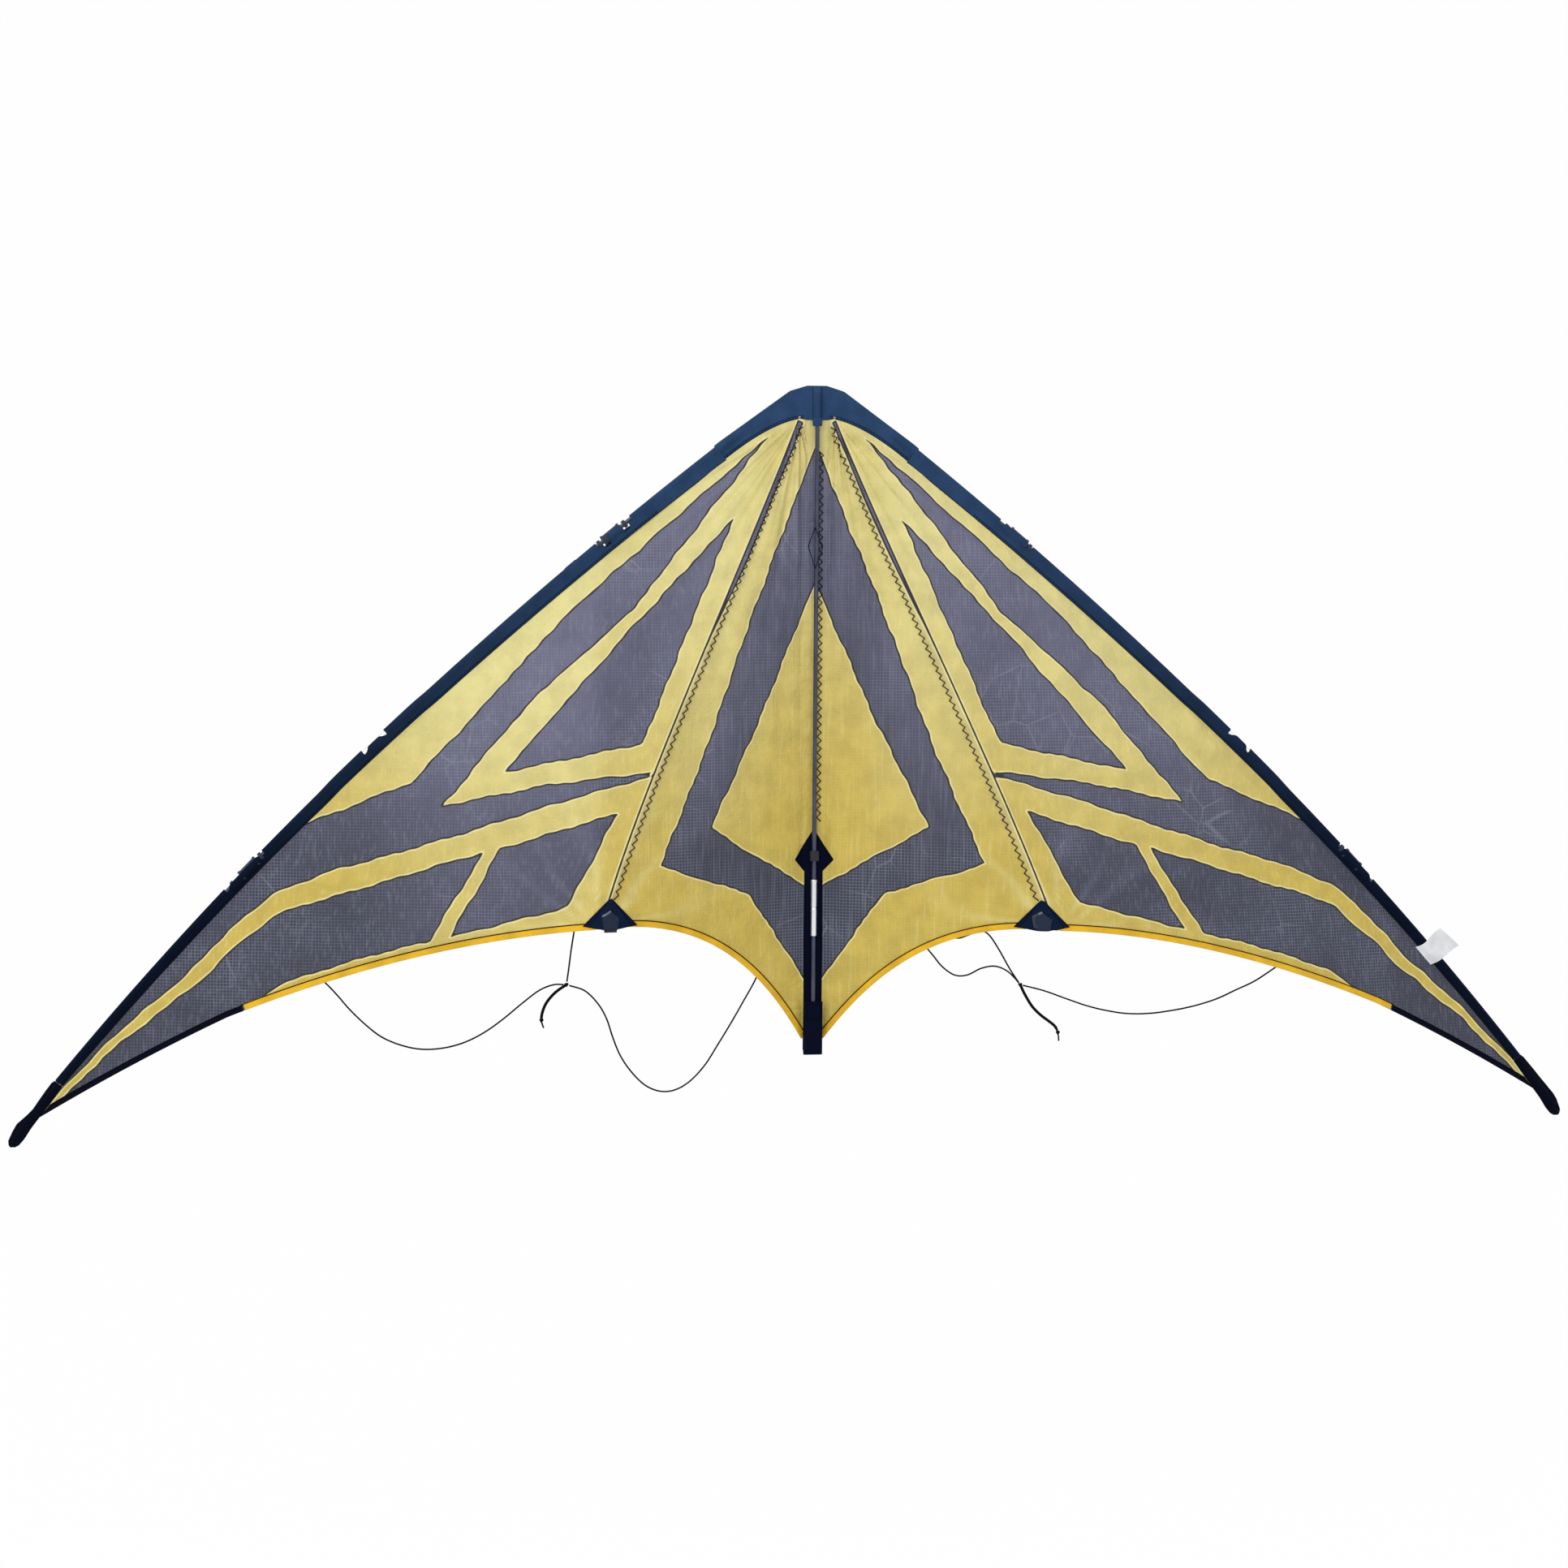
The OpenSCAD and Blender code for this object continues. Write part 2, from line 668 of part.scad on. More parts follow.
// Blank sewn tab on the right leading edge
module care_tab() {
    color(WHITE) wing("right")
        translate([0, -3.6, 0])
            rotate([90, 0, 0])
                linear_extrude(0.6)
                    polygon([[573.4, -519.5], [598.8, -501.8], [617.2, -517.9], [589, -536.5]]);
}

// ---------- bridle ----------

cord_d = 1.2;
cord_sides = 8;

// Routes chosen by hand from the photograph, x, y, z, from the fitting to the tow knot
right_upper_route = [
    [176, 6, -145.5], [171, 13, -180], [161, 17, -220], [152, 20, -260], [145, 22, -300],
    [138, 24, -340], [133, 26, -380], [128, 27, -420], [125, 28, -460], [126, 29, -490],
    [132, 30, -506], [142, 30, -511], [153, 30, -508], [163, 30, -504], [172, 30, -508],
    [182, 31, -522], [193, 31, -541], [201.8, 31.2, -554]];
right_lower_route = [
    [499, -0.5, -439.3], [500, 6, -455], [498, 13, -470], [493, 17, -488], [485, 21, -506],
    [474, 25, -523], [462, 28, -535], [447, 30, -546], [431, 30, -556], [413, 30, -564],
    [395, 30, -572], [375, 30, -578], [355, 30, -582], [331, 30, -585], [308, 30, -585],
    [288, 30, -582], [268, 30, -577], [248, 30, -570], [226, 30, -562], [205.6, 30, -556.6]];
right_inner_route = [
    [31, 9.5, -431.3], [32, 14, -442], [36, 18, -453], [43, 21, -464], [53, 24, -476],
    [65, 26, -487], [79, 28, -497], [94, 29, -506], [107, 30, -514], [118, 30, -526],
    [128, 30, -538], [140, 30, -546], [152, 30, -546], [165, 30, -540], [178, 30, -538],
    [189, 29, -542], [197, 28.8, -549], [201.3, 28.8, -554.1]];
left_upper_route = [
    [-176, 6, -145.5], [-177, 12, -180], [-180, 15, -210], [-184, 18, -240], [-188, 20, -270],
    [-192, 22, -300], [-196, 24, -330], [-200, 26, -360], [-204, 27, -390], [-208, 28, -420],
    [-212, 29, -450], [-215, 30, -475], [-218, 30, -500], [-221, 30, -520], [-223, 30, -536],
    [-224.6, 30, -547.3]];
left_lower_route = [
    [-499, -0.5, -439.3], [-500, 6, -455], [-497, 13, -470], [-491, 17, -488], [-482, 21, -505],
    [-471, 25, -520], [-458, 28, -533], [-444, 30, -546], [-433, 30, -558], [-423, 30, -570],
    [-409, 30, -584], [-394, 30, -596], [-376, 30, -604], [-357, 30, -608], [-337, 30, -607],
    [-318, 30, -602], [-300, 30, -593], [-283, 30, -581], [-266, 30, -567], [-250, 30, -555],
    [-237, 30, -550], [-227.7, 30, -550]];
left_inner_route = [
    [-31, 9.5, -431.3], [-30, 14, -446], [-31, 18, -462], [-33, 22, -480], [-37, 26, -502],
    [-42, 29, -524], [-48, 30, -545], [-61, 30, -569], [-73, 30, -590], [-84, 30, -608],
    [-96, 30, -627], [-110, 30, -642], [-124, 30, -650], [-138, 30, -651], [-152, 30, -645],
    [-165, 30, -632], [-175, 30, -617], [-182, 30, -600], [-188, 30, -582], [-196, 30, -568],
    [-208, 30, -556], [-222.4, 30, -550.9]];
right_tow_route = [
    [203, 30, -556], [208, 30, -566], [215, 30, -577], [223, 30, -585], [231, 30, -591],
    [237, 30, -596], [240, 30, -602], [241, 30, -610]];
left_tow_route = [
    [-225, 30, -550], [-235, 30, -557], [-243, 30, -566], [-247, 30, -575],
    [-248, 30, -583], [-246, 30, -590]];

// Smooth route through hand-chosen points
function route_at(p, k, t) =
    let (a = p[max(k - 1, 0)], b = p[k], c = p[k + 1], d = p[min(k + 2, len(p) - 1)])
    0.5 * (2 * b + (c - a) * t + (2 * a - 5 * b + 4 * c - d) * t * t
           + (3 * b - a - 3 * c + d) * t * t * t);
function route_points(p, per) =
    concat([for (k = [0:len(p) - 2], j = [0:per - 1]) route_at(p, k, j / per)], [p[len(p) - 1]]);
function unit(v) = v / norm(v);
// Ring of a cord that lies mostly in the x, z plane
function cord_ring(p, along, r) =
    let (side = unit(cross(along, [0, 1, 0])), up = cross(side, along))
    [for (k = [0:cord_sides - 1])
        let (a = 360 * k / cord_sides) p + r * (cos(a) * side + sin(a) * up)];

// Cord along a route, "per" rings to each stretch between its points
module cord(route, d, per = 1) {
    p = route_points(route, per);
    n = len(p) - 1;
    loft([for (k = [0:n])
        cord_ring(p[k], unit(p[min(k + 1, n)] - p[max(k - 1, 0)]), d / 2)]);
}

// Ring of cord round a rod or socket, about the x axis
module cord_loop(centre, r) {
    translate(centre)
        rotate([0, 90, 0])
            rotate_extrude($fn = 24) translate([r + cord_d / 2 + 0.15, 0]) circle(d = cord_d, $fn = 16);
}

module upper_leg(side) {
    y = upper_spreader_y + (upper_mouth_x - hinge_x) * sin(dihedral);
    color(BLACK) {
        cord(side == "left" ? left_upper_route : right_upper_route, cord_d, 2);
        wing(side) cord_loop([upper_mouth_x + 4, y, upper_spreader_z], arm_r);
    }
}

module lower_leg(side) {
    color(BLACK) {
        cord(side == "left" ? left_lower_route : right_lower_route, cord_d, 2);
        wing(side) cord_loop(on_spreader(lower_mouth_x + 5), arm_r);
    }
}

module inner_leg(side) {
    color(BLACK) {
        cord(side == "left" ? left_inner_route : right_inner_route, cord_d, 2);
        wing(side) cord_loop(on_spreader(31), rod_r);
    }
}

// Rings of a knot of radius r on a cord, from angle a0 to a1 along it
function knot_rings(centre, along, r, a0, a1) =
    [for (k = [0:6])
        let (a = mix(a0, a1, k / 6))
        cord_ring(centre + r * sin(a) * along, along, r * cos(a))];

// Knotted tow loop that a flying line is hitched to, with the knot of the three legs
module tow_loop(side) {
    route = side == "left" ? left_tow_route : right_tow_route;
    n = len(route) - 1;
    from_legs = unit(route[1] - route[0]);
    through = unit(route[n - 1] - route[n - 3]);
    tail = unit(route[n] - route[n - 1]);
    color(BLACK)
        loft(concat(
            knot_rings(route[0], from_legs, 2.2, -75, 56),
            [for (k = [1:n - 3])
                cord_ring(route[k], unit(route[k + 1] - route[k - 1]), cord_d)],
            knot_rings(route[n - 2], through, 2.05, -54, 54),
            [cord_ring(route[n - 1], tail, cord_d)],
            knot_rings(route[n], tail, 1.4, -30, 75)));
}

spine_upper_rod();
spine_lower_rod();
spine_ferrule();
spine_cap();
center_tee();
center_seam();
keel_patch();
nose_tab();
upper_spreader();
spreader_keeper();
tail_strap();
care_tab();
edge_upper_rod("left");  // left_edge_upper_rod
edge_lower_rod("left");  // left_edge_lower_rod
edge_ferrule("left");  // left_edge_ferrule
edge_sleeve("left");  // left_edge_sleeve
nose_web("left");  // left_nose_web
tip_web("left");  // left_tip_web
tip_cap("left");  // left_tip_cap
upper_connector("left");  // left_upper_connector
lower_connector("left");  // left_lower_connector
stop_clips("left");  // left_stop_clips
inner_sail_panel("left");  // left_inner_sail
outer_sail_panel("left");  // left_outer_sail
hem("left");  // left_hem
tip_tape("left");  // left_tip_tape
standoff_patch("left");  // left_standoff_patch
standoff_pocket("left");  // left_standoff_pocket
lower_spreader("left");  // left_lower_spreader
standoff_clip("left");  // left_standoff_clip
standoff_rod("left");  // left_standoff_rod
upper_leg("left");  // left_bridle_upper_leg
lower_leg("left");  // left_bridle_lower_leg
inner_leg("left");  // left_bridle_inner_leg
tow_loop("left");  // left_tow_loop
edge_upper_rod("right");  // right_edge_upper_rod
edge_lower_rod("right");  // right_edge_lower_rod
edge_ferrule("right");  // right_edge_ferrule
edge_sleeve("right");  // right_edge_sleeve
nose_web("right");  // right_nose_web
tip_web("right");  // right_tip_web
tip_cap("right");  // right_tip_cap
upper_connector("right");  // right_upper_connector
lower_connector("right");  // right_lower_connector
stop_clips("right");  // right_stop_clips
inner_sail_panel("right");  // right_inner_sail
outer_sail_panel("right");  // right_outer_sail
hem("right");  // right_hem
tip_tape("right");  // right_tip_tape
standoff_patch("right");  // right_standoff_patch
standoff_pocket("right");  // right_standoff_pocket
lower_spreader("right");  // right_lower_spreader
standoff_clip("right");  // right_standoff_clip
standoff_rod("right");  // right_standoff_rod
upper_leg("right");  // right_bridle_upper_leg
lower_leg("right");  // right_bridle_lower_leg
inner_leg("right");  // right_bridle_inner_leg
tow_loop("right");  // right_tow_loop
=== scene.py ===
"""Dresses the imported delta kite: cloth, webbing, stitches, bridle, finishes, light and camera.

Sizes are in millimetres in the kite's frame (X across the span, -Y towards the camera, +Z up,
origin at the nose) and become metres where a mesh is made.
"""

import json
import logging
import math
from dataclasses import dataclass, field, replace
from enum import Enum
from typing import Callable, Iterable, Sequence

import bmesh
import bpy
import numpy as np
from mathutils import Matrix, Vector
from mathutils.bvhtree import BVHTree
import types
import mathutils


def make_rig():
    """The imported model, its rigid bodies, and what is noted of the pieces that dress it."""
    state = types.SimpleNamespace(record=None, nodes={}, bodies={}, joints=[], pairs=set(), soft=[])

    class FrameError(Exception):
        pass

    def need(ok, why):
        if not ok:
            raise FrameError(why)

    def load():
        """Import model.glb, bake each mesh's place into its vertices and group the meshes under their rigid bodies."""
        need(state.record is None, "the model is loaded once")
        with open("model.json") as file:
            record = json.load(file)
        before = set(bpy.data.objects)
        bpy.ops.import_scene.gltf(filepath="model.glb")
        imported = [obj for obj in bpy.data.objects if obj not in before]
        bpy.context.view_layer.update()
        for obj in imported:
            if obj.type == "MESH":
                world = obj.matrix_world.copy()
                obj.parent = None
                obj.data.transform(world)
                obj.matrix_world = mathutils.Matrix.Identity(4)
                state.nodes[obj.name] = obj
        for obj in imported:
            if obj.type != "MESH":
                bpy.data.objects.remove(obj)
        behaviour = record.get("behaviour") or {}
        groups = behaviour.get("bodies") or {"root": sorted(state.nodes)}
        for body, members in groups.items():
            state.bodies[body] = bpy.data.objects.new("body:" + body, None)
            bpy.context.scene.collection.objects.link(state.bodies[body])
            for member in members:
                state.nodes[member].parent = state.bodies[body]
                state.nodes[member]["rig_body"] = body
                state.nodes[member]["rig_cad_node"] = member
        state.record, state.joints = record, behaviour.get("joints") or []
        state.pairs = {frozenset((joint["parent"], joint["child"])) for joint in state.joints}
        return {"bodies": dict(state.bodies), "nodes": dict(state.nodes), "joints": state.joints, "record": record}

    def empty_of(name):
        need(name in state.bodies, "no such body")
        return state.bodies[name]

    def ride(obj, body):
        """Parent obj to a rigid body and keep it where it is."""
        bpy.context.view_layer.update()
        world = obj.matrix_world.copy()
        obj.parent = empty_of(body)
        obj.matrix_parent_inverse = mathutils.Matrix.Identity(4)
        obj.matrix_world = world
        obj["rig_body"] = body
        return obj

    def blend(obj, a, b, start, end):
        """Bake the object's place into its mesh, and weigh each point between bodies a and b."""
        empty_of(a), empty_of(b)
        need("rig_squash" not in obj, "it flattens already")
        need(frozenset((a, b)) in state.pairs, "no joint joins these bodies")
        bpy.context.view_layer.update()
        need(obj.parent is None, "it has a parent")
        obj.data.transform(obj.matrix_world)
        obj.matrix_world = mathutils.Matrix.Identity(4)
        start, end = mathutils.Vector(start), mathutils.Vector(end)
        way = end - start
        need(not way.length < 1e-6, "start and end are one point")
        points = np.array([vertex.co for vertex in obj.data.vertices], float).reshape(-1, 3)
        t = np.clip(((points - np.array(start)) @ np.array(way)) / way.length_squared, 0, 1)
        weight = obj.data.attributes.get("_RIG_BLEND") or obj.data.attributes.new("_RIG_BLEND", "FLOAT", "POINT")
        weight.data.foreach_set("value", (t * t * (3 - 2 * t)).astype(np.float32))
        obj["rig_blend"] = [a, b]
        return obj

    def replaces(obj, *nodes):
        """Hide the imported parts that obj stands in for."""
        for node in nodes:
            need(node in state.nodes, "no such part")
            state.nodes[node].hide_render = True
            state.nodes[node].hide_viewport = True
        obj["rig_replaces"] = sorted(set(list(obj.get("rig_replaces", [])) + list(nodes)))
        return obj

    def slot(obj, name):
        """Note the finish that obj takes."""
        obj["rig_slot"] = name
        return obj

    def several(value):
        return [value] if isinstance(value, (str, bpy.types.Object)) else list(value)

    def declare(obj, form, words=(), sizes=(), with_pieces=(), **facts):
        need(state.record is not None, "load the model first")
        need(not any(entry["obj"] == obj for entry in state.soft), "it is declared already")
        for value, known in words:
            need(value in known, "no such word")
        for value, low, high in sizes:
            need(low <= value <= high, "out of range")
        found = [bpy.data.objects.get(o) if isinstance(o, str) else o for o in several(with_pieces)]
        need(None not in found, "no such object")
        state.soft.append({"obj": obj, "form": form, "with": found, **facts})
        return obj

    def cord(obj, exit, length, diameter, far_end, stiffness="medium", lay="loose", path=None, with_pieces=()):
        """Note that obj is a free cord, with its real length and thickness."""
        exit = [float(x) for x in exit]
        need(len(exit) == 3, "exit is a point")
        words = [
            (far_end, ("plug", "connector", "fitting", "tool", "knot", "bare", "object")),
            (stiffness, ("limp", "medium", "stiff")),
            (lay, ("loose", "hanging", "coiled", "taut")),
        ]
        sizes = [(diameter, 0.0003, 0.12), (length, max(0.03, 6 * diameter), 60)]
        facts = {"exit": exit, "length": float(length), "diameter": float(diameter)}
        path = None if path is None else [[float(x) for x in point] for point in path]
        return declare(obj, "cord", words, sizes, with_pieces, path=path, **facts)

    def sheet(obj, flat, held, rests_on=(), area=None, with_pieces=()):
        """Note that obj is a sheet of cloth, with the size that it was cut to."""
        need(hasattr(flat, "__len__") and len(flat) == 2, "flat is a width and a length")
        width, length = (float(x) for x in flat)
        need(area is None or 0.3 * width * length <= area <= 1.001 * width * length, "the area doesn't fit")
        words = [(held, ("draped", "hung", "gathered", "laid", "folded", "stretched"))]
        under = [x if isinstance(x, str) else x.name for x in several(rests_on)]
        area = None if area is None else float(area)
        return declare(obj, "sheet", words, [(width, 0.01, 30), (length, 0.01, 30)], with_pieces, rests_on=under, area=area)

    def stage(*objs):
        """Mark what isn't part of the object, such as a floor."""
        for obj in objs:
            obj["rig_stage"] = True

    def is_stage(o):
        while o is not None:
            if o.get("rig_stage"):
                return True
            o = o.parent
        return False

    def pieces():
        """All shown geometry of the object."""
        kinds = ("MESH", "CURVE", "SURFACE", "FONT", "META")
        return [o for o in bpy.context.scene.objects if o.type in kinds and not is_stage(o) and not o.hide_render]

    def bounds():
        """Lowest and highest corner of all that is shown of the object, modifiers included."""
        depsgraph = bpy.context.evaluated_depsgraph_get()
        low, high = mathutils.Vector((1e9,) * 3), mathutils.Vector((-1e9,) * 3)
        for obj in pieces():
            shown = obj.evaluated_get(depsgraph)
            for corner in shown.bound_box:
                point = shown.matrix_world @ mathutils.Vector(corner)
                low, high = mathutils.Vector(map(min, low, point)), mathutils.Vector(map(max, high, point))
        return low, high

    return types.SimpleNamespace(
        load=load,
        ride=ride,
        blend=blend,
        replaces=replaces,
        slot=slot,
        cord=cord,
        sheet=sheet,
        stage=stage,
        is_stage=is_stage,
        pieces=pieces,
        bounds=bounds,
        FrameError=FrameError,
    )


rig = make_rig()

LOG = logging.getLogger("delta_kite")
MM = 0.001
PHOTO = 1932
POINT_SCALE = 1568 / PHOTO
CREASE_ANGLE = math.radians(48)
FAR_OFF = 99.0
Array = np.ndarray
Numbers = np.ndarray | float
Solid = tuple[Array, list]
Piece = bpy.types.Object
Material = bpy.types.Material
Node = bpy.types.Node
Socket = bpy.types.NodeSocket
NodeTree = bpy.types.NodeTree


class Side(Enum):
    """A wing of the kite, as seen from behind."""

    LEFT = "left"
    RIGHT = "right"

    @property
    def body(self) -> str:
        """Name of the CAD body of this wing."""
        return f"{self.value}_wing"

    @property
    def sign(self) -> int:
        """Direction of this wing along X."""
        return -1 if self is Side.LEFT else 1


class Stitch(Enum):
    """A way of sewing."""

    STRAIGHT = "straight"
    ZIGZAG = "zigzag"


# ---------- curves and numbers ----------


def ease(value: Numbers, low: float = 0.0, high: float = 1.0) -> Array:
    """Smooth step of value from 0 at low to 1 at high."""
    t = np.clip((np.asarray(value, float) - low) / (high - low), 0, 1)
    return t * t * (3 - 2 * t)


def bezier(points: Sequence[Sequence[float]], t: Numbers) -> Array:
    """Points of a Bezier curve.

    Args:
        points: Control points, x, y, z.
        t: Shares of the curve, any shape.

    Returns:
        An array of t's shape with three numbers for each.
    """
    t = np.asarray(t, float)[..., None]
    rows = [np.broadcast_to(np.asarray(p, float), t.shape[:-1] + (3,)) for p in points]
    while len(rows) > 1:
        rows = [a * (1 - t) + b * t for a, b in zip(rows, rows[1:])]
    return rows[0]


def unit(v: Array) -> Array:
    """The vectors of v, each made one long."""
    return v / np.maximum(np.linalg.norm(v, axis=-1, keepdims=True), 1e-12)


def xyz(x: Numbers, y: Numbers, z: Numbers) -> Array:
    """Points from their three numbers, each spread to the same shape."""
    return np.stack(np.broadcast_arrays(*(np.asarray(v, float) for v in (x, y, z))), -1)


def shares(columns: int, rows: int) -> tuple[Array, Array]:
    """Shares across and down a grid."""
    return np.meshgrid(np.linspace(0, 1, columns), np.linspace(0, 1, rows))


def turns_of(count: int) -> Array:
    """Evenly spread angles of one full turn."""
    return np.linspace(0, 2 * math.pi, count, endpoint=False)


def polyline(corners: Sequence, count: int) -> Array:
    """Straight lines from corner to corner, with count points each."""
    return np.concatenate([np.linspace(a, b, count) for a, b in zip(corners, corners[1:])])


def smooth_route(points: Sequence[Sequence[float]], per: int) -> Array:
    """A smooth line through given points, as the part's source draws its cords.

    Args:
        points: The points, in millimetres.
        per: Steps from each point to the next.

    Returns:
        The points of the line.
    """
    p = np.asarray(points, float)
    n = len(p)
    out = []
    for k in range(n - 1):
        a, b, c, d = p[max(k - 1, 0)], p[k], p[k + 1], p[min(k + 2, n - 1)]
        out += [0.5 * (2 * b + (c - a) * t + (2 * a - 5 * b + 4 * c - d) * t * t
                       + (3 * b - a - 3 * c + d) * t ** 3) for t in np.arange(per) / per]
    return np.array([*out, p[-1]])


def length_along(path: Array) -> Array:
    """Distance from a path's start to each of its points."""
    return np.concatenate([[0], np.cumsum(np.linalg.norm(np.diff(path, axis=0), axis=1))])


def grid_normals(grid: Array) -> Array:
    """Unit normals of a grid of points, turned to face the camera side, -Y."""
    n = unit(np.cross(np.gradient(grid, axis=0), np.gradient(grid, axis=1)))
    return np.where(n[..., 1:2] > 0, -n, n)


def from_line(x: Array, z: Array, a: Array, b: Array) -> Array:
    """Distance of points in the X, Z plane from the straight line between two points.

    Args:
        x: The points' X.
        z: The points' Z.
        a: One end of the line, x and z.
        b: Its other end.

    Returns:
        The distances.
    """
    d = b - a
    share = np.clip(((x - a[0]) * d[0] + (z - a[1]) * d[1]) / (d @ d), 0, 1)
    return np.hypot(x - a[0] - share * d[0], z - a[1] - share * d[1])


# ---------- the kite's lines ----------


@dataclass(frozen=True)
class LeadingEdge:
    """Line of the leading-edge rods in a right wing's flat frame, by station from the nose."""

    top: tuple[float, float] = (75.0, -46.2)
    nose_slope: float = 37.8
    upper_radius: float = 4300.0
    lower_radius: float = 3300.0
    joint: float = 428.0
    sleeve_end: float = 838.0
    sail_start: float = 38.0
    sail_end: float = 868.0
    tip_inset: float = 2.7
    bore: float = 2.55
    ferrule_room: float = 0.75
    widths: tuple[float, float, float] = (16.0, 12.8, 8.6)

    def slope(self, s: Numbers) -> Array:
        """Slope below horizontal at station s, in radians."""
        s = np.asarray(s, float)
        return (math.radians(self.nose_slope) + np.minimum(s, self.joint) / self.upper_radius
                + np.maximum(s - self.joint, 0) / self.lower_radius)

    def point(self, s: Numbers, out: Numbers = 0.0, y: Numbers = 0.0) -> Array:
        """Point at a station, moved outward in the wing's plane and along Y.

        Args:
            s: Station along the leading edge.
            out: Distance outward from the rod's axis.
            y: Height above the wing's plane.

        Returns:
            Points, x, y, z.
        """
        s, out, y = np.broadcast_arrays(*(np.asarray(v, float) for v in (s, out, y)))
        h, h0 = self.slope(s), math.radians(self.nose_slope)
        upper, bend = self.slope(np.minimum(s, self.joint)), self.slope(self.joint)
        lower = np.where(s > self.joint, h, bend)
        x = self.top[0] + self.upper_radius * (np.sin(upper) - math.sin(h0))
        z = self.top[1] + self.upper_radius * (np.cos(upper) - math.cos(h0))
        x = x + self.lower_radius * (np.sin(lower) - math.sin(bend)) + out * np.sin(h)
        z = z + self.lower_radius * (np.cos(lower) - math.cos(bend)) + out * np.cos(h)
        return np.stack([x, y, z], -1)

    def channel(self, s: Numbers) -> Array:
        """Radius of the sleeve's channel, wider round the ferrule."""
        round_ferrule = ease(70 - np.abs(np.asarray(s, float) - self.joint), 0, 24)
        return self.bore + self.ferrule_room * round_ferrule

    def sleeve_width(self, s: Numbers) -> Array:
        """Width of the folded sleeve."""
        return np.interp(s, (0, self.joint, self.sleeve_end), self.widths)

    def sleeve_inner(self, s: Numbers) -> Array:
        """Line of the sleeve's sewn inner edge, where the sail starts."""
        return self.point(s, self.channel(s) + 0.55 - self.sleeve_width(s))

    def sail_edge(self, t: Numbers) -> Array:
        """Line of the sail along the sleeve and past the tip pouch, by its share t."""
        s = self.sail_start + (self.sail_end - self.sail_start) * np.asarray(t, float)
        inset = self.tip_inset * np.clip((s - self.sleeve_end) / 20, 0, 1)
        return self.point(s, self.channel(s) + 0.55 - self.sleeve_width(s) - inset)


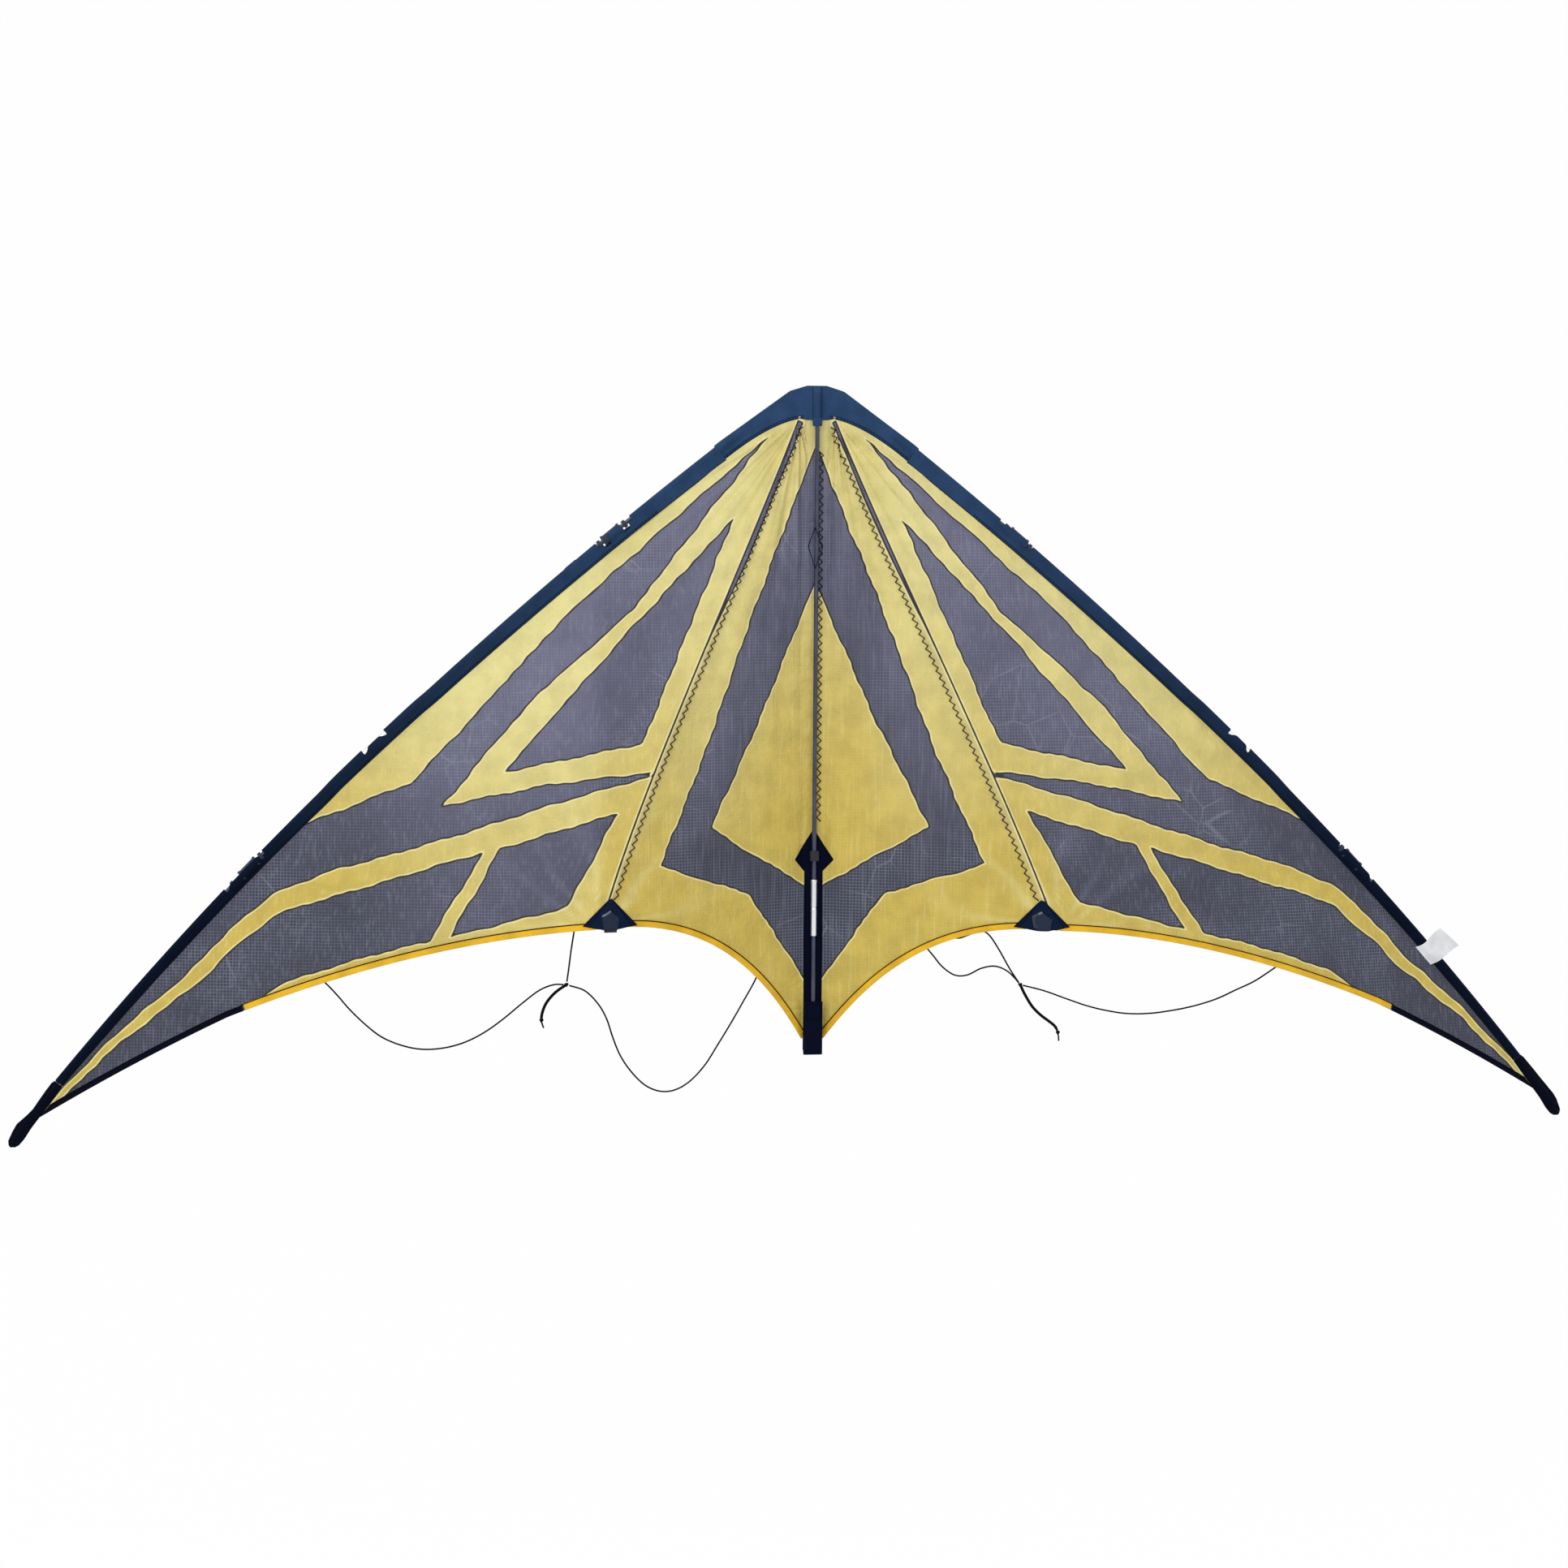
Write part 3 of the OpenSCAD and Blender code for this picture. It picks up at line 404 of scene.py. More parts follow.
@dataclass(frozen=True)
class SailShape:
    """Edges and panels of the right sail, in a wing's flat frame."""

    edge: LeadingEdge = LeadingEdge()
    billow: float = 84.0
    hinge: tuple[float, float] = (9.5, 0.5)
    dihedral: float = 1.2
    tape_share: float = 0.65
    top_z: float = -31.4
    keel_x: float = 9.95
    keel_z: float = -599.0
    foot: tuple[float, float] = (197.0, -487.0)
    rise: float = 0.0

    @property
    def seam_low(self) -> tuple[float, float, float]:
        """Foot of the seam, where a standoff holds the sail."""
        return (self.foot[0], -self.billow, self.foot[1])

    @property
    def outer_corner(self) -> tuple[float, float, float]:
        """Place on the trailing edge where the dark tape starts."""
        return (530.0, -0.31 * self.billow, -567.9 + self.rise)

    def seam(self, t: Numbers) -> Array:
        """Line of the seam between the panels."""
        b = self.billow
        return bezier([(17, 0, self.top_z), (75, -0.26 * b, -175), (172, -0.67 * b, -372),
                       self.seam_low], t)

    def keel(self, t: Numbers) -> Array:
        """Line of the inner panel along the spine."""
        return bezier([(self.keel_x, 0.5, self.top_z), (self.keel_x, 0.5, self.keel_z)], t)

    def inner_hem(self, u: Numbers) -> Array:
        """Trailing edge of the inner panel.

        Args:
            u: Share from the spine to the seam.

        Returns:
            Points of the edge.
        """
        b, low = self.billow, self.foot[1] + 487
        return bezier([(self.keel_x, 0.5, self.keel_z), (45, -0.17 * b, -540 + min(3 * low, 0)),
                       (100, -0.52 * b, -478 + low), self.seam_low], u)

    def web_edge(self, u: Numbers) -> Array:
        """Line where the outer panel meets the nose webbing."""
        return bezier([(17, 0, self.top_z), (50, 0, -38), self.edge.sail_edge(0)], u)

    def outer_hem(self, u: Numbers) -> Array:
        """Trailing edge of the outer panel, a curve to the dark tape and a flatter one to the tip.

        Args:
            u: Share from the seam to the tip.

        Returns:
            Points of the edge.
        """
        b, share, u = self.billow, self.tape_share, np.asarray(u, float)
        bent = bezier([self.seam_low, (308, -0.765 * b, -494.2 + self.rise),
                       (419, -0.56 * b, -522.3 + self.rise), self.outer_corner],
                      np.minimum(u / share, 1))
        tip = bezier([self.outer_corner, (611, -0.155 * b, -606.2 + 0.6 * self.rise),
                      self.edge.sail_edge(1.0)], np.clip((u - share) / (1 - share), 0, 1))
        return np.where((u < share)[..., None], bent, tip)

    @staticmethod
    def patch(left: Callable, right: Callable, top: Callable, low: Callable, u: Numbers,
              t: Numbers) -> Array:
        """Patch between four edge curves.

        Args:
            left, right: The edges' points by their share down.
            top, low: The edges' points by their share across.
            u: Share across.
            t: Share down.

        Returns:
            The patch's points.
        """
        u, t = np.broadcast_arrays(np.asarray(u, float), np.asarray(t, float))
        sides, ends = (left(t), right(t)), (top(u), low(u))
        u, t = u[..., None], t[..., None]
        corners = ((left(0.0) * (1 - u) + right(0.0) * u) * (1 - t)
                   + (left(1.0) * (1 - u) + right(1.0) * u) * t)
        return (sides[0] * (1 - u) + sides[1] * u + ends[0] * (1 - t) + ends[1] * t - corners)

    def inner(self, u: Numbers, t: Numbers) -> Array:
        """Points of the inner panel, u from the spine to the seam and t downwards."""
        ends = [self.keel(0.0), self.seam(0.0)]
        return self.patch(self.keel, self.seam, lambda v: bezier(ends, v), self.inner_hem, u, t)

    def outer(self, u: Numbers, t: Numbers) -> Array:
        """Points of the outer panel, u from the seam to the sleeve and t downwards."""
        return self.patch(self.seam, self.edge.sail_edge, self.web_edge, self.outer_hem, u, t)

    def place(self, points: Array, side: Side) -> Array:
        """Puts points of a wing's flat frame in the kite's frame.

        Args:
            points: Points of a right wing, in millimetres.
            side: The wing that they belong to.

        Returns:
            The points, mirrored on the left.
        """
        p = np.array(points, float)
        a = math.radians(self.dihedral)
        dx, dy = p[..., 0] - self.hinge[0], p[..., 1] - self.hinge[1]
        p[..., 0] = side.sign * (self.hinge[0] + dx * math.cos(a) + dy * math.sin(a))
        p[..., 1] = self.hinge[1] - dx * math.sin(a) + dy * math.cos(a)
        return p


@dataclass(frozen=True)
class Creases:
    """Small folds of the taut cloth, heights in millimetres."""

    fan: float = 0.95
    drift: float = 0.7
    pucker: float = 0.16

    def height(self, p: Array, u: Array, t: Array, from_seam: Array) -> Array:
        """Height of the folds, nothing at the sewn edges.

        Args:
            p: Points in a wing's flat frame.
            u: Share across the panel.
            t: Share down the panel.
            from_seam: Distance from the seam.

        Returns:
            The height of each point along its normal.
        """
        x, z = p[..., 0], p[..., 2]
        reach, turn = np.hypot(x - 17, z + 31), np.arctan2(x - 17, -(z + 31))
        foot, round_foot = np.hypot(x - 195, z + 480), np.arctan2(x - 195, z + 480)
        fan = np.sin(31 * turn + 0.6 * np.sin(reach / 47)) + 0.5 * np.sin(67 * turn + 1.1)
        fan = self.fan * fan * (0.35 + np.exp(-reach / 230))
        drift = (np.sin(x / 23 + 1.7 * np.sin(z / 71)) * np.sin(z / 37 + 0.8 * np.sin(x / 53))
                 + 0.5 * np.sin((x + 1.6 * z) / 19 + np.sin(z / 29)))
        star = 0.7 * np.sin(11 * round_foot) * np.exp(-foot / 42) * ease(foot, 4, 22)
        seam = self.pucker * np.sin(-z * 2 * math.pi / 11.5) * np.exp(-from_seam / 9)
        sewn = ease(u, 0, 0.07) * ease(1 - u, 0, 0.05) * ease(t, 0, 0.04) * ease(1 - t, 0.012, 0.07)
        return (fan + self.drift * drift + star) * sewn + seam * ease(t, 0, 0.03) * ease(1 - t, 0, 0.05)


@dataclass(frozen=True)
class Print:
    """Plain slate bands on a yellow ground, the same on both wings, with slightly uneven edges."""

    bands: tuple = (
        ((0, -52), (60, -205), (105, -330), (148, -432), (62, -462), (0, -556)),
        ((0, -178), (52, -300), (100, -400), (0, -462)),
        ((44, -46), (120, -112), (225, -205), (366, -358), (470, -400), (560, -455), (665, -575),
         (720, -655), (690, -648), (671, -626), (637, -592), (604, -561), (570, -534),
         (545, -508), (522, -484), (490, -458), (435, -436), (377, -420), (320, -402),
         (240, -376), (157, -352), (157, -348), (250, -360), (340, -379), (260, -285),
         (170, -205), (95, -110)),
        ((77, -120), (180, -230), (286, -349), (163, -323), (120, -222)),
        ((186, -384), (290, -416), (335, -493), (232, -466)),
        ((304, -419), (355, -434), (405, -450), (460, -466), (488, -476), (504, -490),
         (528, -509), (553, -534), (586, -560), (620, -586), (654, -618), (680, -643),
         (668, -656), (530, -578), (512, -557), (486, -538), (455, -526), (405, -510),
         (353, -497)))
    waver: tuple[float, float] = (0.65, 0.4)
    strips: tuple[float, float] = (4.4, 2.9)

    def seam_strip(self, shape: SailShape, side: Side) -> Array:
        """Outline of the slate strip inside the seam, which narrows to a thin line.

        Args:
            shape: The sail that the print lies on.
            side: The wing.

        Returns:
            The outline's points, x and z.
        """
        t = np.linspace(0.0, 1.0, 60)
        seam = shape.place(shape.seam(t), Side.RIGHT)[:, [0, 2]]
        width = 0.6 + self.strips[side.sign > 0] * (1 - ease(t, 0.25, 0.45))
        across = np.array([0.93, 0.37])
        return np.concatenate([seam + 0.6 * across, (seam - width[:, None] * across)[::-1]])

    @staticmethod
    def signed(x: Array, z: Array, outline: Sequence) -> Array:
        """Distance of points from an outline, less than nothing inside it.

        Args:
            x: The points' X.
            z: The points' Z.
            outline: Its corners, x and z.

        Returns:
            Signed distances.
        """
        near, inside = np.full(x.shape, 1e9), np.zeros(x.shape, bool)
        p = np.asarray(outline, float)
        for a, b in zip(p, np.roll(p, -1, 0)):
            if a[0] or b[0]:
                near = np.minimum(near, from_line(x, z, a, b))
            if a[1] != b[1]:
                at = a[0] + (z - a[1]) * (b[0] - a[0]) / (b[1] - a[1])
                inside ^= ((a[1] > z) != (b[1] > z)) & (x < at)
        return np.where(inside, -near, near)

    def distance(self, points: Array, shape: SailShape, side: Side) -> Array:
        """Distance from the nearest edge of the print, less than nothing inside a band.

        Args:
            points: Points in the kite's frame.
            shape: The sail that the print lies on.
            side: The wing that they belong to.

        Returns:
            Signed distances in millimetres.
        """
        x, z = np.abs(points[..., 0]), points[..., 2]
        near = self.signed(x, z, self.seam_strip(shape, side))
        turn = 0.0 if side is Side.LEFT else 1.7
        wide, fine = self.waver
        still = ease(x, 4, 20)
        bent_x = x + still * (wide * np.sin(z / 7.1 + 2 * np.sin(x / 41 + turn))
                              + fine * np.sin(z / 2.3 + 3 * np.sin(z / 17 + x / 13)))
        bent_z = z + still * (wide * np.sin(x / 7.9 + 2 * np.sin(z / 47 + turn))
                              + fine * np.sin(x / 2.6 + 3 * np.sin(x / 19 + z / 11)))
        reach, inside = np.full(x.shape, 1e9), np.zeros(x.shape, bool)
        for band in self.bands:
            off = self.signed(bent_x, bent_z, band)
            reach, inside = np.minimum(reach, np.abs(off)), inside ^ (off < 0)
        return np.minimum(near, np.where(inside, -reach, reach))


# ---------- meshes ----------


def make_piece(name: str, solid: Solid, finish: Material, slot: str,
               values: dict[str, Array] | None = None) -> Piece:
    """Makes a closed smooth mesh object from millimetres, its faces turned outward.

    Args:
        name: The object's name.
        solid: Its points, and its faces as lists of point numbers.
        finish: Its material.
        slot: The record's material slot.
        values: Numbers for each point, or for one face of a skin, by attribute name.

    Returns:
        The object, linked to the scene.
    """
    mesh = bpy.data.meshes.new(name)
    mesh.from_pydata((np.asarray(solid[0], float).reshape(-1, 3) * MM).tolist(), [],
                     [list(map(int, f)) for f in solid[1]])
    for key, numbers in (values or {}).items():
        mesh.attributes.new(key, "FLOAT", "POINT").data.foreach_set(
            "value", np.resize(np.asarray(numbers, np.float32), len(mesh.vertices)))
    bm = bmesh.new()
    bm.from_mesh(mesh)
    bmesh.ops.remove_doubles(bm, verts=bm.verts, dist=1e-6)
    bmesh.ops.dissolve_degenerate(bm, edges=bm.edges, dist=1e-7)
    bmesh.ops.recalc_face_normals(bm, faces=bm.faces)
    bm.to_mesh(mesh)
    bm.free()
    mesh.shade_smooth()
    mesh.materials.append(finish)
    mesh.set_sharp_from_angle(angle=CREASE_ANGLE)
    piece = bpy.data.objects.new(name, mesh)
    bpy.context.scene.collection.objects.link(piece)
    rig.slot(piece, slot)
    return piece


def joined(parts: Iterable[Solid]) -> Solid:
    """Several solids as one.

    Args:
        parts: Pairs of points and faces.

    Returns:
        All points, and all faces with their numbers moved on.
    """
    verts, faces, start = [], [], 0
    for points, polygons in parts:
        points = np.asarray(points, float).reshape(-1, 3)
        verts.append(points)
        faces += [[i + start for i in f] for f in polygons]
        start += len(points)
    return np.concatenate(verts), faces


def skin(front: Array, back: Array) -> Solid:
    """Closed shell between two grids of points.

    Args:
        front: Rows by columns of points.
        back: The other face, point for point.

    Returns:
        Points and faces.
    """
    rows, cols = front.shape[:2]
    n = rows * cols
    number = np.arange(n).reshape(rows, cols)
    face = np.stack([number[:-1, :-1], number[:-1, 1:], number[1:, 1:], number[1:, :-1]],
                    -1).reshape(-1, 4)
    rim = np.concatenate([number[0], number[1:, -1], number[-1, -2::-1], number[-2:0:-1, 0]])
    edge = np.stack([np.roll(rim, -1), rim, rim + n, np.roll(rim, -1) + n], -1)
    return (np.concatenate([front.reshape(-1, 3), back.reshape(-1, 3)]),
            [*face.tolist(), *(face[:, ::-1] + n).tolist(), *edge.tolist()])


def ring_faces(number: Array) -> Array:
    """Four-sided faces between rings of point numbers."""
    after = np.roll(number, -1, 1)
    return np.stack([number[:-1], after[:-1], after[1:], number[1:]], -1).reshape(-1, 4)


def loft(rings: Array) -> Solid:
    """Closed solid over rings of equally many points, with flat ends."""
    number = np.arange(rings.shape[0] * rings.shape[1]).reshape(rings.shape[:2])
    return rings.reshape(-1, 3), [number[0][::-1].tolist(), *ring_faces(number).tolist(),
                                  number[-1].tolist()]


def hollow(outer: Array, inner: Array) -> Solid:
    """Open tube of cloth with a wall: an outer and an inner skin joined at both ends.

    Args:
        outer: Rings by points by three.
        inner: The same number of rings and points inside them.

    Returns:
        Points and faces.
    """
    total = outer.shape[0] * outer.shape[1]
    number = np.arange(total).reshape(outer.shape[:2])
    faces = [*ring_faces(number).tolist(), *(ring_faces(number)[:, ::-1] + total).tolist()]
    for ring, turn in ((number[0], -1), (number[-1], 1)):
        after = np.roll(ring, -1)
        faces += np.stack([ring, after, after + total, ring + total], -1)[:, ::turn].tolist()
    return np.concatenate([outer.reshape(-1, 3), inner.reshape(-1, 3)]), faces


def frames_along(path: Array) -> tuple[Array, Array]:
    """Two directions across a path at each point, which don't twist about it.

    Args:
        path: The path's points.

    Returns:
        The two sets of directions.
    """
    tangent = unit(np.gradient(path, axis=0))
    start = np.cross(tangent[0], [0, 1, 0])
    if np.linalg.norm(start) < 0.1:
        start = np.cross(tangent[0], [1, 0, 0])
    across = [unit(start)]
    for t in tangent[1:]:
        across.append(unit(across[-1] - t * (across[-1] @ t)))
    across = np.array(across)
    return across, np.cross(tangent, across)


def tube(path: Array, radius: float, sides: int = 8) -> Solid:
    """Round cord along a path with flat ends.

    Args:
        path: The path's points.
        radius: Its radius.
        sides: Points round it.

    Returns:
        Points and faces.
    """
    across, up = frames_along(path)
    turn = turns_of(sides)[None, :, None]
    return loft(path[:, None] + radius * (np.cos(turn) * across[:, None]
                                          + np.sin(turn) * up[:, None]))


def helix(centre: Sequence[float], radius: float, turns: float, pitch: float,
          start: float) -> Array:
    """Path of cord wound about a line along X.

    Args:
        centre: Middle of the winding.
        radius: Radius of the path.
        turns: Number of turns.
        pitch: Distance from one turn to the next.
        start: First angle, in radians.

    Returns:
        The path's points.
    """
    a = np.linspace(0, 2 * math.pi * turns, int(20 * turns) + 1)
    return np.asarray(centre, float) + xyz(pitch * (a / (2 * math.pi) - turns / 2),
                                           radius * np.cos(a + start), radius * np.sin(a + start))


def knot_path(centre: Sequence[float], size: float) -> Array:
    """Closed path of an overhand knot drawn tight, about its middle and with its half width."""
    a = np.linspace(0, 2 * math.pi, 48)
    return np.asarray(centre, float) + size / 3 * xyz(
        np.sin(a) + 2 * np.sin(2 * a), -0.9 * np.sin(3 * a), np.cos(a) - 2 * np.cos(2 * a))


def shape_tree(pieces: Iterable[Piece]) -> BVHTree:
    """One search tree over finished pieces, in metres.

    Args:
        pieces: Mesh objects that sit at the origin.

    Returns:
        The tree.
    """
    verts, faces = [], []
    for piece in pieces:
        start = len(verts)
        verts += [v.co.copy() for v in piece.data.vertices]
        faces += [[i + start for i in p.vertices] for p in piece.data.polygons]
    return BVHTree.FromPolygons(verts, faces)


def drape(points: Array, tree: BVHTree, lift: float, face: int = -1) -> Array:
    """Lays points of the X, Z plane on a face of a cloth.

    Args:
        points: Points whose X and Z count, in millimetres.
        tree: The cloth.
        lift: Distance from it.
        face: Side of the cloth along Y: -1 towards the camera, 1 behind.

    Returns:
        The points with their Y on the cloth.
    """
    out = np.array(points, float)
    for p in out.reshape(-1, 3):
        x, z = p[0] * MM, p[2] * MM
        hit = tree.ray_cast(Vector((x, 0.4 * face, z)), Vector((0, -face, 0)))[0]
        hit = hit or tree.find_nearest(Vector((x, -0.07 * min(abs(p[0]) / 190, 1), z)))[0]
        p[1] = hit.y / MM
    out[..., 1] += face * lift
    return out


# ---------- node trees ----------


def paint(red: int, green: int, blue: int) -> tuple[float, float, float, float]:
    """A colour as it shows on a screen, 0 to 255, as Blender's linear colour."""
    c = np.array((red, green, blue)) / 255
    return (*np.where(c <= 0.04045, c / 12.92, ((c + 0.055) / 1.055) ** 2.4).tolist(), 1.0)


class Graph:
    """Adds nodes to a tree and links them."""

    def __init__(self, tree: NodeTree) -> None:
        """Keeps the tree."""
        self.tree = tree

    def add(self, kind: str, inputs: dict | None = None, **settings: object) -> Node:
        """Adds a node.

        Args:
            kind: Blender's name of the node.
            inputs: Values or sockets for its inputs, by name or number.
            settings: Its other settings.

        Returns:
            The node.
        """
        node = self.tree.nodes.new(kind)
        for key, value in settings.items():
            setattr(node, key, value)
        for key, value in (inputs or {}).items():
            if isinstance(value, Socket):
                self.tree.links.new(value, node.inputs[key])
            else:
                node.inputs[key].default_value = value
        return node

    def link(self, node: Node, **sockets: Socket) -> None:
        """Links sockets to a node's inputs, by name with _ for a space."""
        for key, socket in sockets.items():
            self.tree.links.new(socket, node.inputs[key.replace("_", " ")])

    def math(self, operation: str, *values: object) -> Socket:
        """Result of a sum on numbers or sockets."""
        return self.add("ShaderNodeMath", dict(enumerate(values)), operation=operation).outputs[0]

    def times(self, a: object, b: object) -> Socket:
        """Product of two numbers or sockets."""
        return self.math("MULTIPLY", a, b)

    def mix(self, share: object, a: object, b: object, blend: str = "MIX") -> Socket:
        """Mix of two colours."""
        return self.add("ShaderNodeMix", {0: share, 6: a, 7: b}, data_type="RGBA",
                        blend_type=blend).outputs[2]

    def toned(self, colour: object, tone: Socket) -> Socket:
        """A colour made darker or lighter by a number."""
        grey = self.add("ShaderNodeCombineColor", {0: tone, 1: tone, 2: tone})
        return self.mix(1.0, colour, grey.outputs[0], "MULTIPLY")

    def fade(self, value: object, low: float, high: float, start: float = 0.0,
             end: float = 1.0) -> Socket:
        """Smooth change of a value from start at low to end at high."""
        return self.add("ShaderNodeMapRange", {0: value, 1: low, 2: high, 3: start, 4: end},
                        interpolation_type="SMOOTHSTEP").outputs[0]

    def noise(self, place: Socket, scale: object, detail: float, **more: float) -> Socket:
        """Noise at a place, 0 to 1."""
        return self.add("ShaderNodeTexNoise", {"Vector": place, "Scale": scale, "Detail": detail,
                                               **more}).outputs[0]

    def cracks(self, place: Socket, scale: float, width: float) -> Socket:
        """Fine lines between random cells, 1 on a line."""
        cells = self.add("ShaderNodeTexVoronoi", {"Vector": place, "Scale": scale},
                         feature="DISTANCE_TO_EDGE")
        return self.fade(cells.outputs[0], 0.0, width, 1.0, 0.0)

    def attribute(self, name: str) -> Socket:
        """Number that the mesh keeps under a name."""
        return self.add("ShaderNodeAttribute", attribute_name=name).outputs["Fac"]

    def seen(self) -> Socket:
        """1 for what the camera, a mirror or a glass shows."""
        path = self.add("ShaderNodeLightPath").outputs
        return self.math("MAXIMUM", self.math("MAXIMUM", path["Is Camera Ray"],
                                              path["Is Glossy Ray"]), path["Is Transmission Ray"])


def new_group(name: str, kind: str, inputs: dict[str, object], *outputs: str
              ) -> tuple[Graph, dict[str, Socket], Node]:
    """Starts a node group with named sockets.

    Args:
        name: The group's name.
        kind: Blender's kind of tree.
        inputs: Each input's default number, or the type of its socket.
        outputs: Names of the outputs, of which Geometry is geometry and the others numbers.

    Returns:
        The graph, its inputs' sockets and its output node.
    """
    tree = bpy.data.node_groups.new(name, kind)
    for label, default in inputs.items():
        given = isinstance(default, float)
        socket = tree.interface.new_socket(
            label, in_out="INPUT", socket_type=f"NodeSocket{'Float' if given else default}")
        if given:
            socket.default_value = default
    for label in outputs:
        form = "Geometry" if label == "Geometry" else "Float"
        tree.interface.new_socket(label, in_out="OUTPUT", socket_type=f"NodeSocket{form}")
    return Graph(tree), tree.nodes.new("NodeGroupInput").outputs, tree.nodes.new("NodeGroupOutput")


def weave_group() -> NodeTree:
    """Group for a plain weave on the X, Z plane.

    Returns:
        The group, with Pitch in metres and outputs Height and Tone.
    """
    g, start, end = new_group("Woven threads", "ShaderNodeTree",
                              {"Vector": "Vector", "Pitch": 0.0006}, "Height", "Tone")
    place = g.add("ShaderNodeSeparateXYZ", {0: start["Vector"]}).outputs
    over = g.times(*(g.math("SINE", g.math("DIVIDE", g.times(place[axis], 2 * math.pi),
                                           start["Pitch"])) for axis in (0, 2)))
    g.link(end, Height=g.math("MULTIPLY_ADD", over, 0.5, 0.5),
           Tone=g.noise(start["Vector"], 55.0, 4.0))
    return g.tree


def ripstop_group() -> NodeTree:
    """Group for the thicker threads of a ripstop cloth.

    Returns:
        The group, with Pitch and Width in metres and an output Lines.
    """
    g, start, end = new_group("Ripstop threads", "ShaderNodeTree",
                              {"Vector": "Vector", "Pitch": 0.0055, "Width": 0.0007}, "Lines")
    place = g.add("ShaderNodeSeparateXYZ", {0: start["Vector"]}).outputs
    lines = []
    for axis in (0, 2):
        turn = g.math("FRACT", g.math("DIVIDE", place[axis], start["Pitch"]))
        off = g.times(g.math("ABSOLUTE", g.math("SUBTRACT", turn, 0.5)), start["Pitch"])
        lines.append(g.fade(g.math("DIVIDE", off, start["Width"]), 0.35, 1.0, 1.0, 0.0))
    g.link(end, Lines=g.math("MAXIMUM", *lines))
    return g.tree


def grain_group() -> NodeTree:
    """Group for the fine unevenness and scuffed places of a hard or worn piece.

    Returns:
        The group, with Scale and outputs Height, Tone and Wear.
    """
    g, start, end = new_group("Grain and wear", "ShaderNodeTree",
                              {"Vector": "Vector", "Scale": 900.0}, "Height", "Tone", "Wear")
    broad = g.noise(start["Vector"], 38.0, 5.0)
    g.link(end, Height=g.noise(start["Vector"], start["Scale"], 3.0), Tone=broad,
           Wear=g.times(g.cracks(start["Vector"], 140.0, 0.035), g.fade(broad, 0.54, 0.7)))
    return g.tree


class Groups:
    """The shader groups that several finishes share."""

    def __init__(self) -> None:
        """Builds the groups."""
        self.weave, self.ripstop, self.grain = weave_group(), ripstop_group(), grain_group()


class Coat:
    """A material being made: its graph, its shader and its object coordinates."""

    def __init__(self, name: str, colour: tuple) -> None:
        """Starts the material.

        Args:
            name: The material's name.
            colour: Colour for the viewport.
        """
        self.material = bpy.data.materials.new(name)
        self.material.use_nodes = True
        self.material.diffuse_color = colour
        self.g = Graph(self.material.node_tree)
        self.shader = self.g.tree.nodes["Principled BSDF"]
        self.place = self.g.add("ShaderNodeTexCoord").outputs["Object"]

    def group(self, tree: NodeTree, **inputs: object) -> dict[str, Socket]:
        """Adds a shared group on the object's coordinates.

        Args:
            tree: The group.
            inputs: Its other inputs.

        Returns:
            Its outputs by name.
        """
        return self.g.add("ShaderNodeGroup", {"Vector": self.place, **inputs},
                          node_tree=tree).outputs

    def values(self, **values: float) -> None:
        """Sets plain numbers on the shader, by name with _ for a space."""
        for key, value in values.items():
            self.shader.inputs[key.replace("_", " ")].default_value = value

    def finished(self, colour: Socket, *layers: tuple[Socket, float]) -> Material:
        """Links the colour and adds relief.

        Args:
            colour: The base colour.
            layers: Heights from 0 to 1, each with its depth in metres.

        Returns:
            The material.
        """
        normal = {}
        for height, depth in layers:
            bump = self.g.add("ShaderNodeBump", {"Height": height, "Distance": depth,
                                                 "Strength": 1.0, **normal})
            normal = {"Normal": bump.outputs[0]}
        self.g.link(self.shader, Base_Color=colour, **normal)
        return self.material


